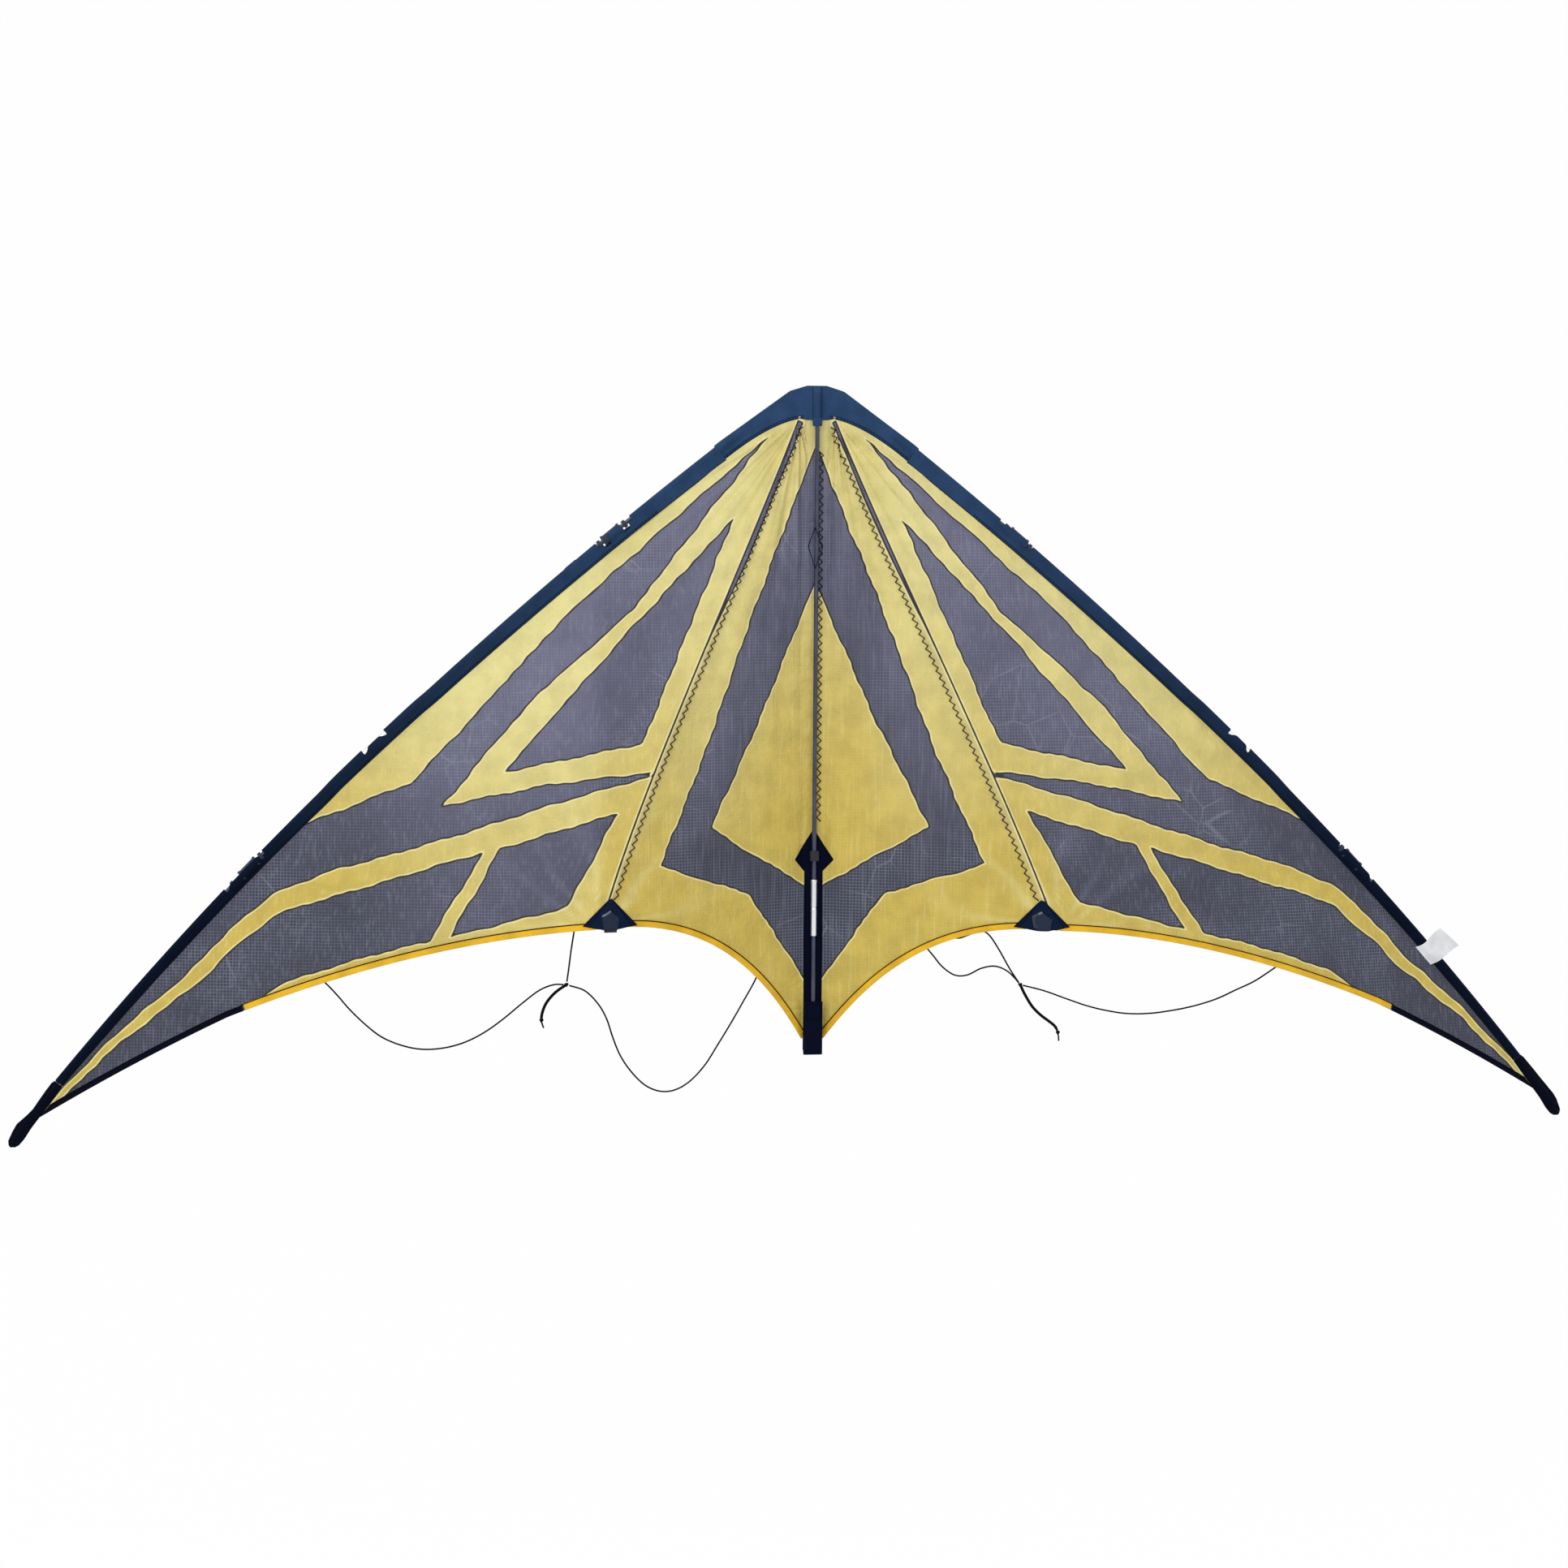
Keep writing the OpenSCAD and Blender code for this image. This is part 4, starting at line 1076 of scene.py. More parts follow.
@dataclass(frozen=True)
class SailFinish:
    """Ripstop cloth, yellow with slate bands and a fine light and dark line between them."""

    name: str = "printed_sailcloth"
    yellow: tuple = paint(204, 177, 72)
    yellow_pale: tuple = paint(230, 219, 148)
    seam_tint: tuple = paint(203, 188, 132)
    slate: tuple = paint(50, 53, 66)
    slate_blue: tuple = paint(108, 107, 130)
    grid: tuple = paint(136, 140, 162)
    light_line: tuple = paint(240, 230, 166)
    dark_line: tuple = paint(42, 37, 38)
    streak: tuple = paint(176, 180, 190)

    def cloth(self, g: Graph, place: Socket, lines: Socket) -> Socket:
        """Colour of the printed cloth before its fine tone, with painted light: lit copies of yellow and slate by the
        pale share, and painted highlights on crinkles and beside the sleeve.

        Args:
            g: The material's graph.
            place: The coordinates' socket.
            lines: The ripstop's threads.

        Returns:
            The colour's socket.
        """
        edge, pale, band, rim = (g.attribute(n) for n in ("print", "pale", "seam_band", "rim"))
        patchy = g.noise(place, 11.0, 2.0)
        tall = g.add("ShaderNodeVectorMath", {0: place, 1: (1.0, 1.0, 0.06)}, operation="MULTIPLY")
        fine = g.noise(tall.outputs[0], 420.0, 2.0)
        # Painted highlights on the cloth's crinkles: thin pale cracks in random patches, laid on the slate.
        mark = g.times(g.cracks(place, 26.0, 0.03), g.fade(patchy, 0.5, 0.66, 0.0, 0.2))
        shown = g.fade(patchy, 0.35, 0.65, 0.14, 0.44)
        # Painted light: where the pale share is high, yellow and slate give way to their lit copies.
        yellow = g.mix(pale, self.yellow, self.yellow_pale)
        slate = g.mix(pale, self.slate, self.slate_blue)
        for share, colour in ((g.times(band, 0.6), self.seam_tint),
                              (g.times(lines, 0.08), self.light_line),
                              (g.fade(fine, 0.5, 0.75, 0.0, 0.22), self.light_line)):
            yellow = g.mix(share, yellow, colour)
        for share, colour in ((g.times(lines, shown), self.grid),
                              (g.fade(fine, 0.48, 0.75, 0.0, 0.12), self.streak),
                              (mark, self.streak)):
            slate = g.mix(share, slate, colour)
        cloth = g.mix(g.fade(edge, -0.25, 0.25), slate, yellow)
        light = g.times(g.fade(edge, 0.2, 0.5), g.fade(edge, 1.3, 1.7, 1.0, 0.0))
        dark = g.times(g.fade(edge, -1.5, -1.1), g.fade(edge, -0.1, 0.25, 1.0, 0.0))
        # Painted highlight: a pale line on the cloth just beside the sleeve's sewn edge, where rim, the distance from
        # the sleeve, is small.
        near = g.times(g.fade(rim, 0.7, 1.5, 1.0, 0.0), g.fade(edge, -0.4, 0.4, 0.25, 0.85))
        for share, colour in ((g.times(light, 0.8), self.light_line),
                              (g.times(dark, 0.9), self.dark_line), (near, self.light_line)):
            cloth = g.mix(share, cloth, colour)
        return cloth

    def make(self, groups: Groups) -> Material:
        """Builds the material.

        Args:
            groups: The shared shader groups.

        Returns:
            The material.
        """
        coat = Coat(self.name, self.yellow)
        g, place = coat.g, coat.place
        weave = coat.group(groups.weave, Pitch=0.00055)
        lines = coat.group(groups.ripstop, Pitch=0.0028, Width=0.00055)["Lines"]
        colour = g.toned(self.cloth(g, place, lines), g.fade(weave["Tone"], 0.3, 0.7, 0.90, 1.05))
        g.link(coat.shader, Roughness=g.fade(weave["Tone"], 0.3, 0.7, 0.50, 0.64))
        coat.values(Specular_IOR_Level=0.24, Sheen_Weight=0.05)
        facets = g.add("ShaderNodeTexVoronoi", {"Vector": place, "Scale": 21.0}, feature="F1",
                       distance="MANHATTAN").outputs[0]
        return coat.finished(colour, (g.noise(place, 34.0, 6.0, Roughness=0.62), 0.0042),
                             (facets, 0.0016), (lines, 0.00008), (weave["Height"], 0.00003))


@dataclass(frozen=True)
class WebbingFinish:
    """Tightly woven tape or webbing, paler towards the nose where the light falls on it."""

    name: str
    dark: tuple
    light: tuple
    pitch: float = 0.0009
    roughness: float = 0.72
    sheen: float = 0.0
    depth: float = 0.00012
    gleam: float = 0.05
    shade: tuple = paint(5, 8, 16)
    rubbed: tuple = paint(150, 158, 166)

    def make(self, groups: Groups) -> Material:
        """Builds the material.

        Args:
            groups: The shared shader groups.

        Returns:
            The material.
        """
        coat = Coat(self.name, self.dark)
        g, place, rough = coat.g, coat.place, self.roughness
        weave = coat.group(groups.weave, Pitch=self.pitch)
        height = g.add("ShaderNodeSeparateXYZ", {0: place}).outputs[2]
        colour = g.mix(g.fade(height, -0.5, 0.0), self.dark, self.light)
        # Painted shade: a dark line along the sewn edges, where the sewn share is set.
        colour = g.mix(g.times(g.attribute("sewn"), 0.75), colour, self.shade)
        # Painted highlight: where the pale share is set, on the patch's pressed shape and along its upper-left edge.
        colour = g.mix(g.attribute("pale"), colour, self.rubbed)
        # Painted light in the weave: raised threads are painted lighter and the hollows darker, besides a random tone.
        tone = g.times(g.fade(weave["Tone"], 0.3, 0.7, 0.86, 1.10),
                       g.fade(weave["Height"], 0.0, 1.0, 0.9, 1.05))
        g.link(coat.shader, Roughness=g.fade(weave["Tone"], 0.3, 0.7, rough - 0.06, rough + 0.06))
        coat.values(Specular_IOR_Level=self.gleam, Sheen_Weight=self.sheen)
        return coat.finished(g.toned(colour, tone), (g.noise(place, 70.0, 4.0), 0.0007),
                             (weave["Height"], self.depth))


@dataclass(frozen=True)
class HardFinish:
    """Moulded, drawn or turned material with fine grain and scuffed places."""

    name: str
    colour: tuple
    worn: tuple
    roughness: float
    scale: float = 500.0
    depth: float = 0.00008
    wear: float = 0.3
    metallic: float = 0.0
    coat: float = 0.0

    def make(self, groups: Groups) -> Material:
        """Builds the material.

        Args:
            groups: The shared shader groups.

        Returns:
            The material.
        """
        coat = Coat(self.name, self.colour)
        g, rough = coat.g, self.roughness
        grain = coat.group(groups.grain, Scale=self.scale)
        colour = g.mix(g.fade(grain["Tone"], 0.35, 0.68, 0.0, 0.3), self.colour, self.worn)
        colour = g.mix(g.times(grain["Wear"], self.wear), colour, self.worn)
        g.link(coat.shader, Roughness=g.fade(grain["Tone"], 0.3, 0.7, rough - 0.07, rough + 0.08))
        coat.values(Metallic=self.metallic, Coat_Weight=self.coat)
        return coat.finished(colour, (grain["Height"], self.depth))


@dataclass(frozen=True)
class CordFinish:
    """Braided cord: two sets of strands that run round it in opposite directions."""

    name: str = "bridle_cord"
    dark: tuple = paint(6, 6, 8)
    light: tuple = paint(30, 30, 34)
    lay: float = 1.7

    def make(self, groups: Groups) -> Material:
        """Builds the material.

        Args:
            groups: The shared shader groups, none of which a braid needs.

        Returns:
            The material.
        """
        coat = Coat(self.name, self.dark)
        g = coat.g
        along, around = g.attribute("along"), g.attribute("around")
        strands = [g.math("SINE", g.math("MULTIPLY_ADD", along, 2 * math.pi / self.lay,
                                         g.times(around, 6.0 * sign * math.pi)))
                   for sign in (1.0, -1.0)]
        over = g.math("MULTIPLY_ADD", g.times(*strands), 0.5, 0.5)
        fuzz = g.fade(g.noise(coat.place, 1500.0, 2.0), 0.3, 0.7, 0.4, 1.0)
        coat.values(Roughness=0.75, Specular_IOR_Level=0.1)
        # Painted highlight: the strands' crowns are painted lighter than the hollows between them, besides the relief.
        return coat.finished(g.mix(g.times(over, fuzz), self.dark, self.light), (over, 0.00012))


FINISHES = {
    "sail": SailFinish(),
    "webbing": WebbingFinish("navy_webbing", paint(7, 18, 38), paint(46, 72, 108)),
    "keel": WebbingFinish("navy_keel", paint(4, 10, 32), paint(8, 18, 46)),
    "patch": WebbingFinish("navy_patch", paint(15, 29, 58), paint(22, 38, 70), 0.0007),
    "tape": WebbingFinish("navy_tape", paint(5, 9, 26), paint(20, 36, 66), 0.0007),
    "hem": WebbingFinish("gold_tape", paint(236, 186, 40), paint(236, 190, 56), 0.0007, 0.6, 0.1,
                         0.00008, 0.2),
    "tab": WebbingFinish("white_tab", paint(236, 236, 238), paint(240, 240, 242), 0.0005, 0.45,
                         0.2, 0.00004, 0.3),
    "thread": WebbingFinish("brown_thread", paint(44, 32, 12), paint(52, 40, 20), 0.0004),
    "navy_thread": WebbingFinish("navy_thread", paint(3, 5, 12), paint(8, 14, 28), 0.0004),
    "rod": HardFinish("fibreglass", paint(22, 31, 62), paint(70, 80, 116), 0.32, 1400.0, 0.00002,
                      0.25, coat=0.4),
    "metal": HardFinish("ferrule_metal", paint(232, 234, 238), paint(206, 209, 214), 0.27, 1600.0,
                        0.00002, 0.6, metallic=1.0),
    "plastic": HardFinish("black_plastic", paint(19, 22, 34), paint(44, 48, 64), 0.46, 700.0,
                          0.00006, 0.4),
    "rubber": HardFinish("black_rubber", paint(16, 17, 21), paint(40, 41, 46), 0.68),
    "fitting": HardFinish("navy_rubber", paint(16, 28, 50), paint(34, 50, 78), 0.6),
    "cord": CordFinish()}


# ---------- camera, light and studio ----------


@dataclass
class StudioCamera:
    """The photograph's camera, in millimetres and degrees."""

    place: tuple[float, float, float] = (-411.7, -2633.9, -166.6)
    yaw: float = 8.29
    pitch: float = -4.22
    roll: float = 0.40
    lens: float = 66.82
    sensor: float = 36.0
    frame: float = 1568.0

    def axes(self) -> tuple[Vector, Vector, Vector]:
        """Directions of the camera.

        Returns:
            Right, up and forward.
        """
        yaw, pitch, roll = (math.radians(v) for v in (self.yaw, self.pitch, self.roll))
        forward = Vector((math.sin(yaw) * math.cos(pitch), math.cos(yaw) * math.cos(pitch),
                          math.sin(pitch)))
        level = Vector((math.cos(yaw), -math.sin(yaw), 0))
        upright = level.cross(forward)
        return (level * math.cos(roll) + upright * math.sin(roll),
                upright * math.cos(roll) - level * math.sin(roll), forward)

    def build(self) -> Piece:
        """Makes the camera.

        Returns:
            The camera object.
        """
        data = bpy.data.cameras.new("photo_camera")
        data.lens, data.sensor_width, data.sensor_fit = self.lens, self.sensor, "AUTO"
        data.clip_start, data.clip_end = 0.05, 50
        camera = bpy.data.objects.new("photo_camera", data)
        right, up, forward = self.axes()
        turn = Matrix((right, up, -forward)).transposed()
        camera.matrix_world = Matrix.Translation(Vector(self.place) * MM) @ turn.to_4x4()
        bpy.context.scene.collection.objects.link(camera)
        bpy.context.scene.camera = camera
        return camera

    def ray(self, x: float, y: float) -> tuple[Vector, Vector]:
        """Sight line through an image point.

        Args:
            x: Image point from the left, on a long side of 1568.
            y: Image point from the top.

        Returns:
            Its start and direction, in metres.
        """
        right, up, forward = self.axes()
        half, far = self.frame / 2, self.frame * self.lens / self.sensor
        return (Vector(self.place) * MM,
                (right * (x - half) + up * (half - y) + forward * far).normalized())

    def on(self, tree: BVHTree, x: float, y: float, lift: float = 0.0) -> Array:
        """Puts an image point on what the camera sees of some pieces.

        Args:
            tree: The finished pieces.
            x: Image point from the left, on a long side of 1568.
            y: Image point from the top.
            lift: Distance towards the camera, in millimetres.

        Returns:
            The place, in millimetres.
        """
        start, along = self.ray(x, y)
        spot = tree.ray_cast(start, along)[0]
        if spot is None:
            steps = [start + along * (1.8 + 0.01 * k) for k in range(160)]
            spot = min((tree.find_nearest(p) for p in steps), key=lambda near: near[3])[0]
        return np.array(spot) / MM - np.array(along) * lift

    def image(self, points: Array) -> Array:
        """Where points show, on a long side of 1568.

        Args:
            points: The points, in millimetres.

        Returns:
            Their x and y in the image.
        """
        right, up, forward = (np.array(v) for v in self.axes())
        d = np.asarray(points, float) - np.array(self.place)
        depth, far = d @ forward, self.frame * self.lens / self.sensor
        return np.stack([self.frame / 2 + far * (d @ right) / depth,
                         self.frame / 2 - far * (d @ up) / depth], -1)


@dataclass
class Studio:
    """Plain pale studio: one swept sheet of paper, soft lamps and an even world."""

    floor_z: float = -1.15
    back_y: float = 8.0
    half_width: float = 9.0
    front_y: float = -8.0
    bend: float = 3.0
    top_z: float = 6.0
    glow: float = 0.975
    aim: tuple[float, float, float] = (0, 0, -0.3)

    def paper_material(self) -> Material:
        """White paper that the camera sees as white, with a little of its own shade.

        Returns:
            The material.
        """
        material = bpy.data.materials.new("studio_paper")
        material.use_nodes = True
        g = Graph(material.node_tree)
        shader = material.node_tree.nodes["Principled BSDF"]
        shader.inputs["Base Color"].default_value = (0.9, 0.9, 0.9, 1)
        shader.inputs["Roughness"].default_value = 0.9
        glow = g.add("ShaderNodeEmission", {"Color": (1, 1, 1, 1), "Strength": 1.0})
        mixed = g.add("ShaderNodeMixShader", {0: g.times(g.seen(), self.glow),
                                              1: shader.outputs[0], 2: glow.outputs[0]})
        g.link(g.tree.nodes["Material Output"], Surface=mixed.outputs[0])
        return material

    def paper(self) -> None:
        """Makes the swept sheet of paper and marks it as the stage."""
        turns = np.linspace(0, math.pi / 2, 13)
        line = [(self.front_y, self.floor_z)]
        line += [(self.back_y - self.bend + self.bend * math.sin(a),
                  self.floor_z + self.bend - self.bend * math.cos(a)) for a in turns]
        line += [(self.back_y, self.top_z)]
        verts = [(x, y, z) for y, z in line for x in (-self.half_width, self.half_width)]
        faces = [(2 * k, 2 * k + 1, 2 * k + 3, 2 * k + 2) for k in range(len(line) - 1)]
        mesh = bpy.data.meshes.new("studio_paper")
        mesh.from_pydata(verts, [], faces)
        mesh.shade_smooth()
        mesh.materials.append(self.paper_material())
        paper = bpy.data.objects.new("studio_paper", mesh)
        bpy.context.scene.collection.objects.link(paper)
        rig.stage(paper)

    def lamp(self, name: str, place: tuple, size: float, power: float) -> None:
        """Adds a square lamp aimed at the kite's middle.

        Args:
            name: The lamp's name.
            place: Where it stands, in metres.
            size: Its side, in metres.
            power: Its power, in watts.
        """
        data = bpy.data.lights.new(name, "AREA")
        data.energy, data.size = power, size
        lamp = bpy.data.objects.new(name, data)
        lamp.location = place
        aim = Vector(self.aim) - Vector(place)
        lamp.rotation_euler = aim.to_track_quat("-Z", "Y").to_euler()
        bpy.context.scene.collection.objects.link(lamp)

    def build(self) -> None:
        """Makes the paper, the lamps and the world."""
        self.paper()
        self.lamp("key_lamp", (-2.0, -2.5, 2.1), 2.0, 48.0)
        self.lamp("fill_lamp", (2.4, -2.4, 0.6), 2.4, 8.0)
        world = bpy.data.worlds.new("studio_world")
        world.use_nodes = True
        g = Graph(world.node_tree)
        back = g.tree.nodes["Background"]
        white = g.add("ShaderNodeBackground", {"Color": (1, 1, 1, 1), "Strength": 1.0})
        back.inputs["Color"].default_value = (0.97, 0.98, 1.0, 1)
        back.inputs["Strength"].default_value = 0.72
        mixed = g.add("ShaderNodeMixShader", {0: g.seen(), 1: back.outputs[0],
                                              2: white.outputs[0]})
        g.link(g.tree.nodes["World Output"], Surface=mixed.outputs[0])
        bpy.context.scene.world = world
        bpy.context.scene.view_settings.view_transform = "Standard"


# ---------- sewing with geometry nodes ----------


def sewing_group(name: str, **sizes: float) -> tuple[Graph, dict[str, Socket], Node, Socket]:
    """Starts a tree that sews along lines of edges.

    Args:
        name: The tree's name.
        sizes: Its sizes in metres.

    Returns:
        The graph, its inputs' sockets, its output node and the lines as curves.
    """
    inputs = {"Geometry": "Geometry", **sizes, "Thread": "Material"}
    g, start, end = new_group(name, "GeometryNodeTree", inputs, "Geometry")
    return g, start, end, g.add("GeometryNodeMeshToCurve", {"Mesh": start["Geometry"]}).outputs[0]


def dress_thread(g: Graph, start: dict[str, Socket], end: Node, thread: Socket) -> NodeTree:
    """Ends a tree of thread: real meshes in the thread's finish.

    Args:
        g: The tree's graph.
        start: Its inputs' sockets.
        end: Its output node.
        thread: The thread's geometry.

    Returns:
        The tree.
    """
    real = g.add("GeometryNodeRealizeInstances", {0: thread})
    dressed = g.add("GeometryNodeSetMaterial", {"Geometry": real.outputs[0],
                                                "Material": start["Thread"]})
    g.link(end, Geometry=dressed.outputs[0])
    return g.tree


def stitch_tree() -> NodeTree:
    """Tree that lays short straight stitches along lines of edges.

    Returns:
        The tree, with Pitch, Length, Thickness and Thread.
    """
    g, start, end, line = sewing_group("Straight stitches", Pitch=0.003, Length=0.0023,
                                       Thickness=0.0003)
    spots = g.add("GeometryNodeCurveToPoints", {"Curve": line, "Length": start["Pitch"]},
                  mode="LENGTH").outputs
    bead = g.add("GeometryNodeMeshCylinder", {"Vertices": 6, "Radius": start["Thickness"],
                                              "Depth": start["Length"]})
    put = g.add("GeometryNodeInstanceOnPoints", {"Points": spots["Points"],
                                                 "Instance": bead.outputs["Mesh"],
                                                 "Rotation": spots["Rotation"]})
    return dress_thread(g, start, end, put.outputs[0])


def zigzag_tree() -> NodeTree:
    """Tree that runs a zigzag thread along lines of edges, swung along their side attribute.

    Returns:
        The tree, with Step, Swing, Thickness and Thread.
    """
    g, start, end, line = sewing_group("Zigzag thread", Step=0.0037, Swing=0.0019,
                                       Thickness=0.0006)
    steps = g.add("GeometryNodeResampleCurve", {"Curve": line, "Length": start["Step"]},
                  mode="LENGTH")
    odd = g.math("MODULO", g.add("GeometryNodeInputIndex").outputs[0], 2.0)
    swing = g.times(g.math("MULTIPLY_ADD", odd, 2.0, -1.0), start["Swing"])
    side = g.add("GeometryNodeInputNamedAttribute", {"Name": "side"}, data_type="FLOAT_VECTOR")
    move = g.add("ShaderNodeVectorMath", {0: side.outputs[0], "Scale": swing}, operation="SCALE")
    swung = g.add("GeometryNodeSetPosition", {"Geometry": steps.outputs[0],
                                              "Offset": move.outputs[0]})
    ring = g.add("GeometryNodeCurvePrimitiveCircle", {"Resolution": 5,
                                                      "Radius": start["Thickness"]})
    thread = g.add("GeometryNodeCurveToMesh", {"Curve": swung.outputs[0], "Fill Caps": True,
                                               "Profile Curve": ring.outputs[0]})
    return dress_thread(g, start, end, thread.outputs[0])


@dataclass
class SewingRow:
    """One line of sewing: its points and the directions across it, in millimetres."""

    points: Array
    side: Array


@dataclass
class Sewing:
    """Collects lines of sewing and turns each body's lines into one piece of thread."""

    finishes: dict[str, Material]
    rows: dict[tuple, list[SewingRow]] = field(default_factory=dict)

    def __post_init__(self) -> None:
        """Builds the two trees."""
        self.trees = {Stitch.STRAIGHT: stitch_tree(), Stitch.ZIGZAG: zigzag_tree()}

    def add(self, name: str, body: str, stitch: Stitch, thread: str, points: Array,
            side: Array | None = None, slot: str = "navy_tape") -> None:
        """Adds a line of sewing.

        Args:
            name: Name of the piece of thread that it joins.
            body: The CAD body that it rides on.
            stitch: How it is sewn.
            thread: Name of the finish of its thread.
            points: Its points.
            side: Directions across it, for a zigzag.
            slot: The record's material slot of its thread.
        """
        side = np.zeros_like(points) if side is None else side
        self.rows.setdefault((name, body, stitch, thread, slot), []).append(SewingRow(points, side))

    def outline(self, rows: Sequence[SewingRow], name: str) -> Piece:
        """Mesh of bare edges that a tree sews along.

        Args:
            rows: The lines of sewing.
            name: The object's name.

        Returns:
            The object.
        """
        verts = np.concatenate([r.points for r in rows]) * MM
        edges, start = [], 0
        for row in rows:
            edges += [(start + k, start + k + 1) for k in range(len(row.points) - 1)]
            start += len(row.points)
        mesh = bpy.data.meshes.new(name)
        mesh.from_pydata(verts.tolist(), edges, [])
        mesh.attributes.new("side", "FLOAT_VECTOR", "POINT").data.foreach_set(
            "vector", np.concatenate([unit(r.side) for r in rows]).astype(np.float32).ravel())
        piece = bpy.data.objects.new(name, mesh)
        bpy.context.scene.collection.objects.link(piece)
        return piece

    def build(self) -> list[Piece]:
        """Sews every collected line.

        Returns:
            The pieces of thread.
        """
        pieces = []
        for (name, body, stitch, thread, slot), rows in self.rows.items():
            piece = self.outline(rows, name)
            tree = self.trees[stitch]
            modifier = piece.modifiers.new("sewing", "NODES")
            modifier.node_group = tree
            chosen = {"Thread": self.finishes[thread]}
            if stitch is Stitch.STRAIGHT and thread == "thread":
                chosen |= {"Length": 0.003, "Thickness": 0.0005}
            for socket in tree.interface.items_tree:
                if getattr(socket, "in_out", "") == "INPUT" and socket.name in chosen:
                    modifier[socket.identifier] = chosen[socket.name]
            graph = bpy.context.evaluated_depsgraph_get()
            mesh = bpy.data.meshes.new_from_object(piece.evaluated_get(graph), depsgraph=graph)
            piece.modifiers.clear()
            piece.data = mesh
            mesh.shade_smooth()
            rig.slot(piece, slot)
            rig.ride(piece, body)
            LOG.info("sewed %s: %d faces", name, len(mesh.polygons))
            pieces.append(piece)
        return pieces


# ---------- the kite's sub-assemblies ----------


@dataclass
class Workshop:
    """What every sub-assembly needs: the sail's shape, the finishes, the sewing and the camera."""

    shape: SailShape
    finishes: dict[str, Material]
    sewing: Sewing
    camera: StudioCamera
    pieces: dict[str, Piece] = field(default_factory=dict)

    def sail(self, side: Side) -> SailShape:
        """The sail's shape with the foot of its seam where this wing's shows."""
        feet = {Side.LEFT: ((205.0, -484.3), 3.0), Side.RIGHT: ((210.5, -490.0), 0.0)}
        foot, rise = feet[side]
        return replace(self.shape, foot=foot, rise=rise)

    def keep(self, piece: Piece, body: str | None = None, *nodes: str) -> Piece:
        """Rides a finished piece on a body and lets it stand for CAD nodes.

        Args:
            piece: The piece.
            body: The body that it rides on, or None where it is blended.
            nodes: The CAD nodes that it replaces.

        Returns:
            The piece.
        """
        if body:
            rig.ride(piece, body)
        if nodes:
            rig.replaces(piece, *nodes)
        self.pieces[piece.name] = piece
        LOG.info("made %s: %d faces", piece.name, len(piece.data.polygons))
        return piece

    def make(self, name: str, solid: Solid, finish: str, slot: str, body: str | None,
             *nodes: str, values: dict[str, Array] | None = None) -> Piece:
        """Makes and keeps a piece.

        Args:
            name: The piece's name.
            solid: Its points and faces.
            finish: Name of its finish.
            slot: The record's material slot.
            body: The body that it rides on, or None where it is blended.
            nodes: The CAD nodes that it replaces.
            values: Numbers for each point, by attribute name.

        Returns:
            The piece.
        """
        return self.keep(make_piece(name, solid, self.finishes[finish], slot, values), body,
                         *nodes)

    def sew(self, name: str, body: str, line: Array, slot: str = "navy_tape") -> None:
        """Adds a line of straight navy stitches.

        Args:
            name: Name of the piece of thread that it joins.
            body: The CAD body that it rides on.
            line: Its points.
            slot: The record's material slot of its thread.
        """
        self.sewing.add(name, body, Stitch.STRAIGHT, "navy_thread", line, slot=slot)

    def across_hinge(self, piece: Piece, side: Side, start: float, end: float) -> None:
        """Bends a piece between the centre and a wing, from one distance off the spine to another."""
        y = self.shape.hinge[1] * MM
        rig.blend(piece, "center", side.body, (side.sign * start * MM, y, 0),
                 (side.sign * end * MM, y, 0))

    def tree(self, *names: str) -> BVHTree:
        """Search tree over finished pieces by name."""
        return shape_tree([self.pieces[n] for n in names])


@dataclass
class WingPart:
    """A sub-assembly of one wing."""

    shop: Workshop
    side: Side

    @property
    def shape(self) -> SailShape:
        """The shape of this wing's sail."""
        return self.shop.sail(self.side)

    def put(self, points: Array) -> Array:
        """Points of the wing's flat frame in the kite's frame."""
        return self.shape.place(points, self.side)

    def make(self, part: str, solid: Solid, finish: str, slot: str, *nodes: str,
             blended: bool = False, values: dict[str, Array] | None = None) -> Piece:
        """Makes and keeps a piece of this wing.

        Args:
            part: The piece's name without its side.
            solid: Its points and faces.
            finish: Name of its finish.
            slot: The record's material slot.
            nodes: The CAD nodes that it replaces, without their side.
            blended: Whether it is blended later instead of riding on the wing.
            values: Numbers for each point, or for one face of a skin, by attribute name.

        Returns:
            The piece.
        """
        side, body = self.side.value, None if blended else self.side.body
        return self.shop.make(f"{side}_{part}", solid, finish, slot, body,
                              *(f"{side}_{node}" for node in nodes), values=values)

    def sew(self, row: str, line: Array, slot: str = "navy_tape") -> None:
        """Adds a line of straight navy stitches, from the kite's frame, to a row of this wing."""
        self.shop.sew(f"{self.side.value}_{row}_stitches", self.side.body, line, slot)


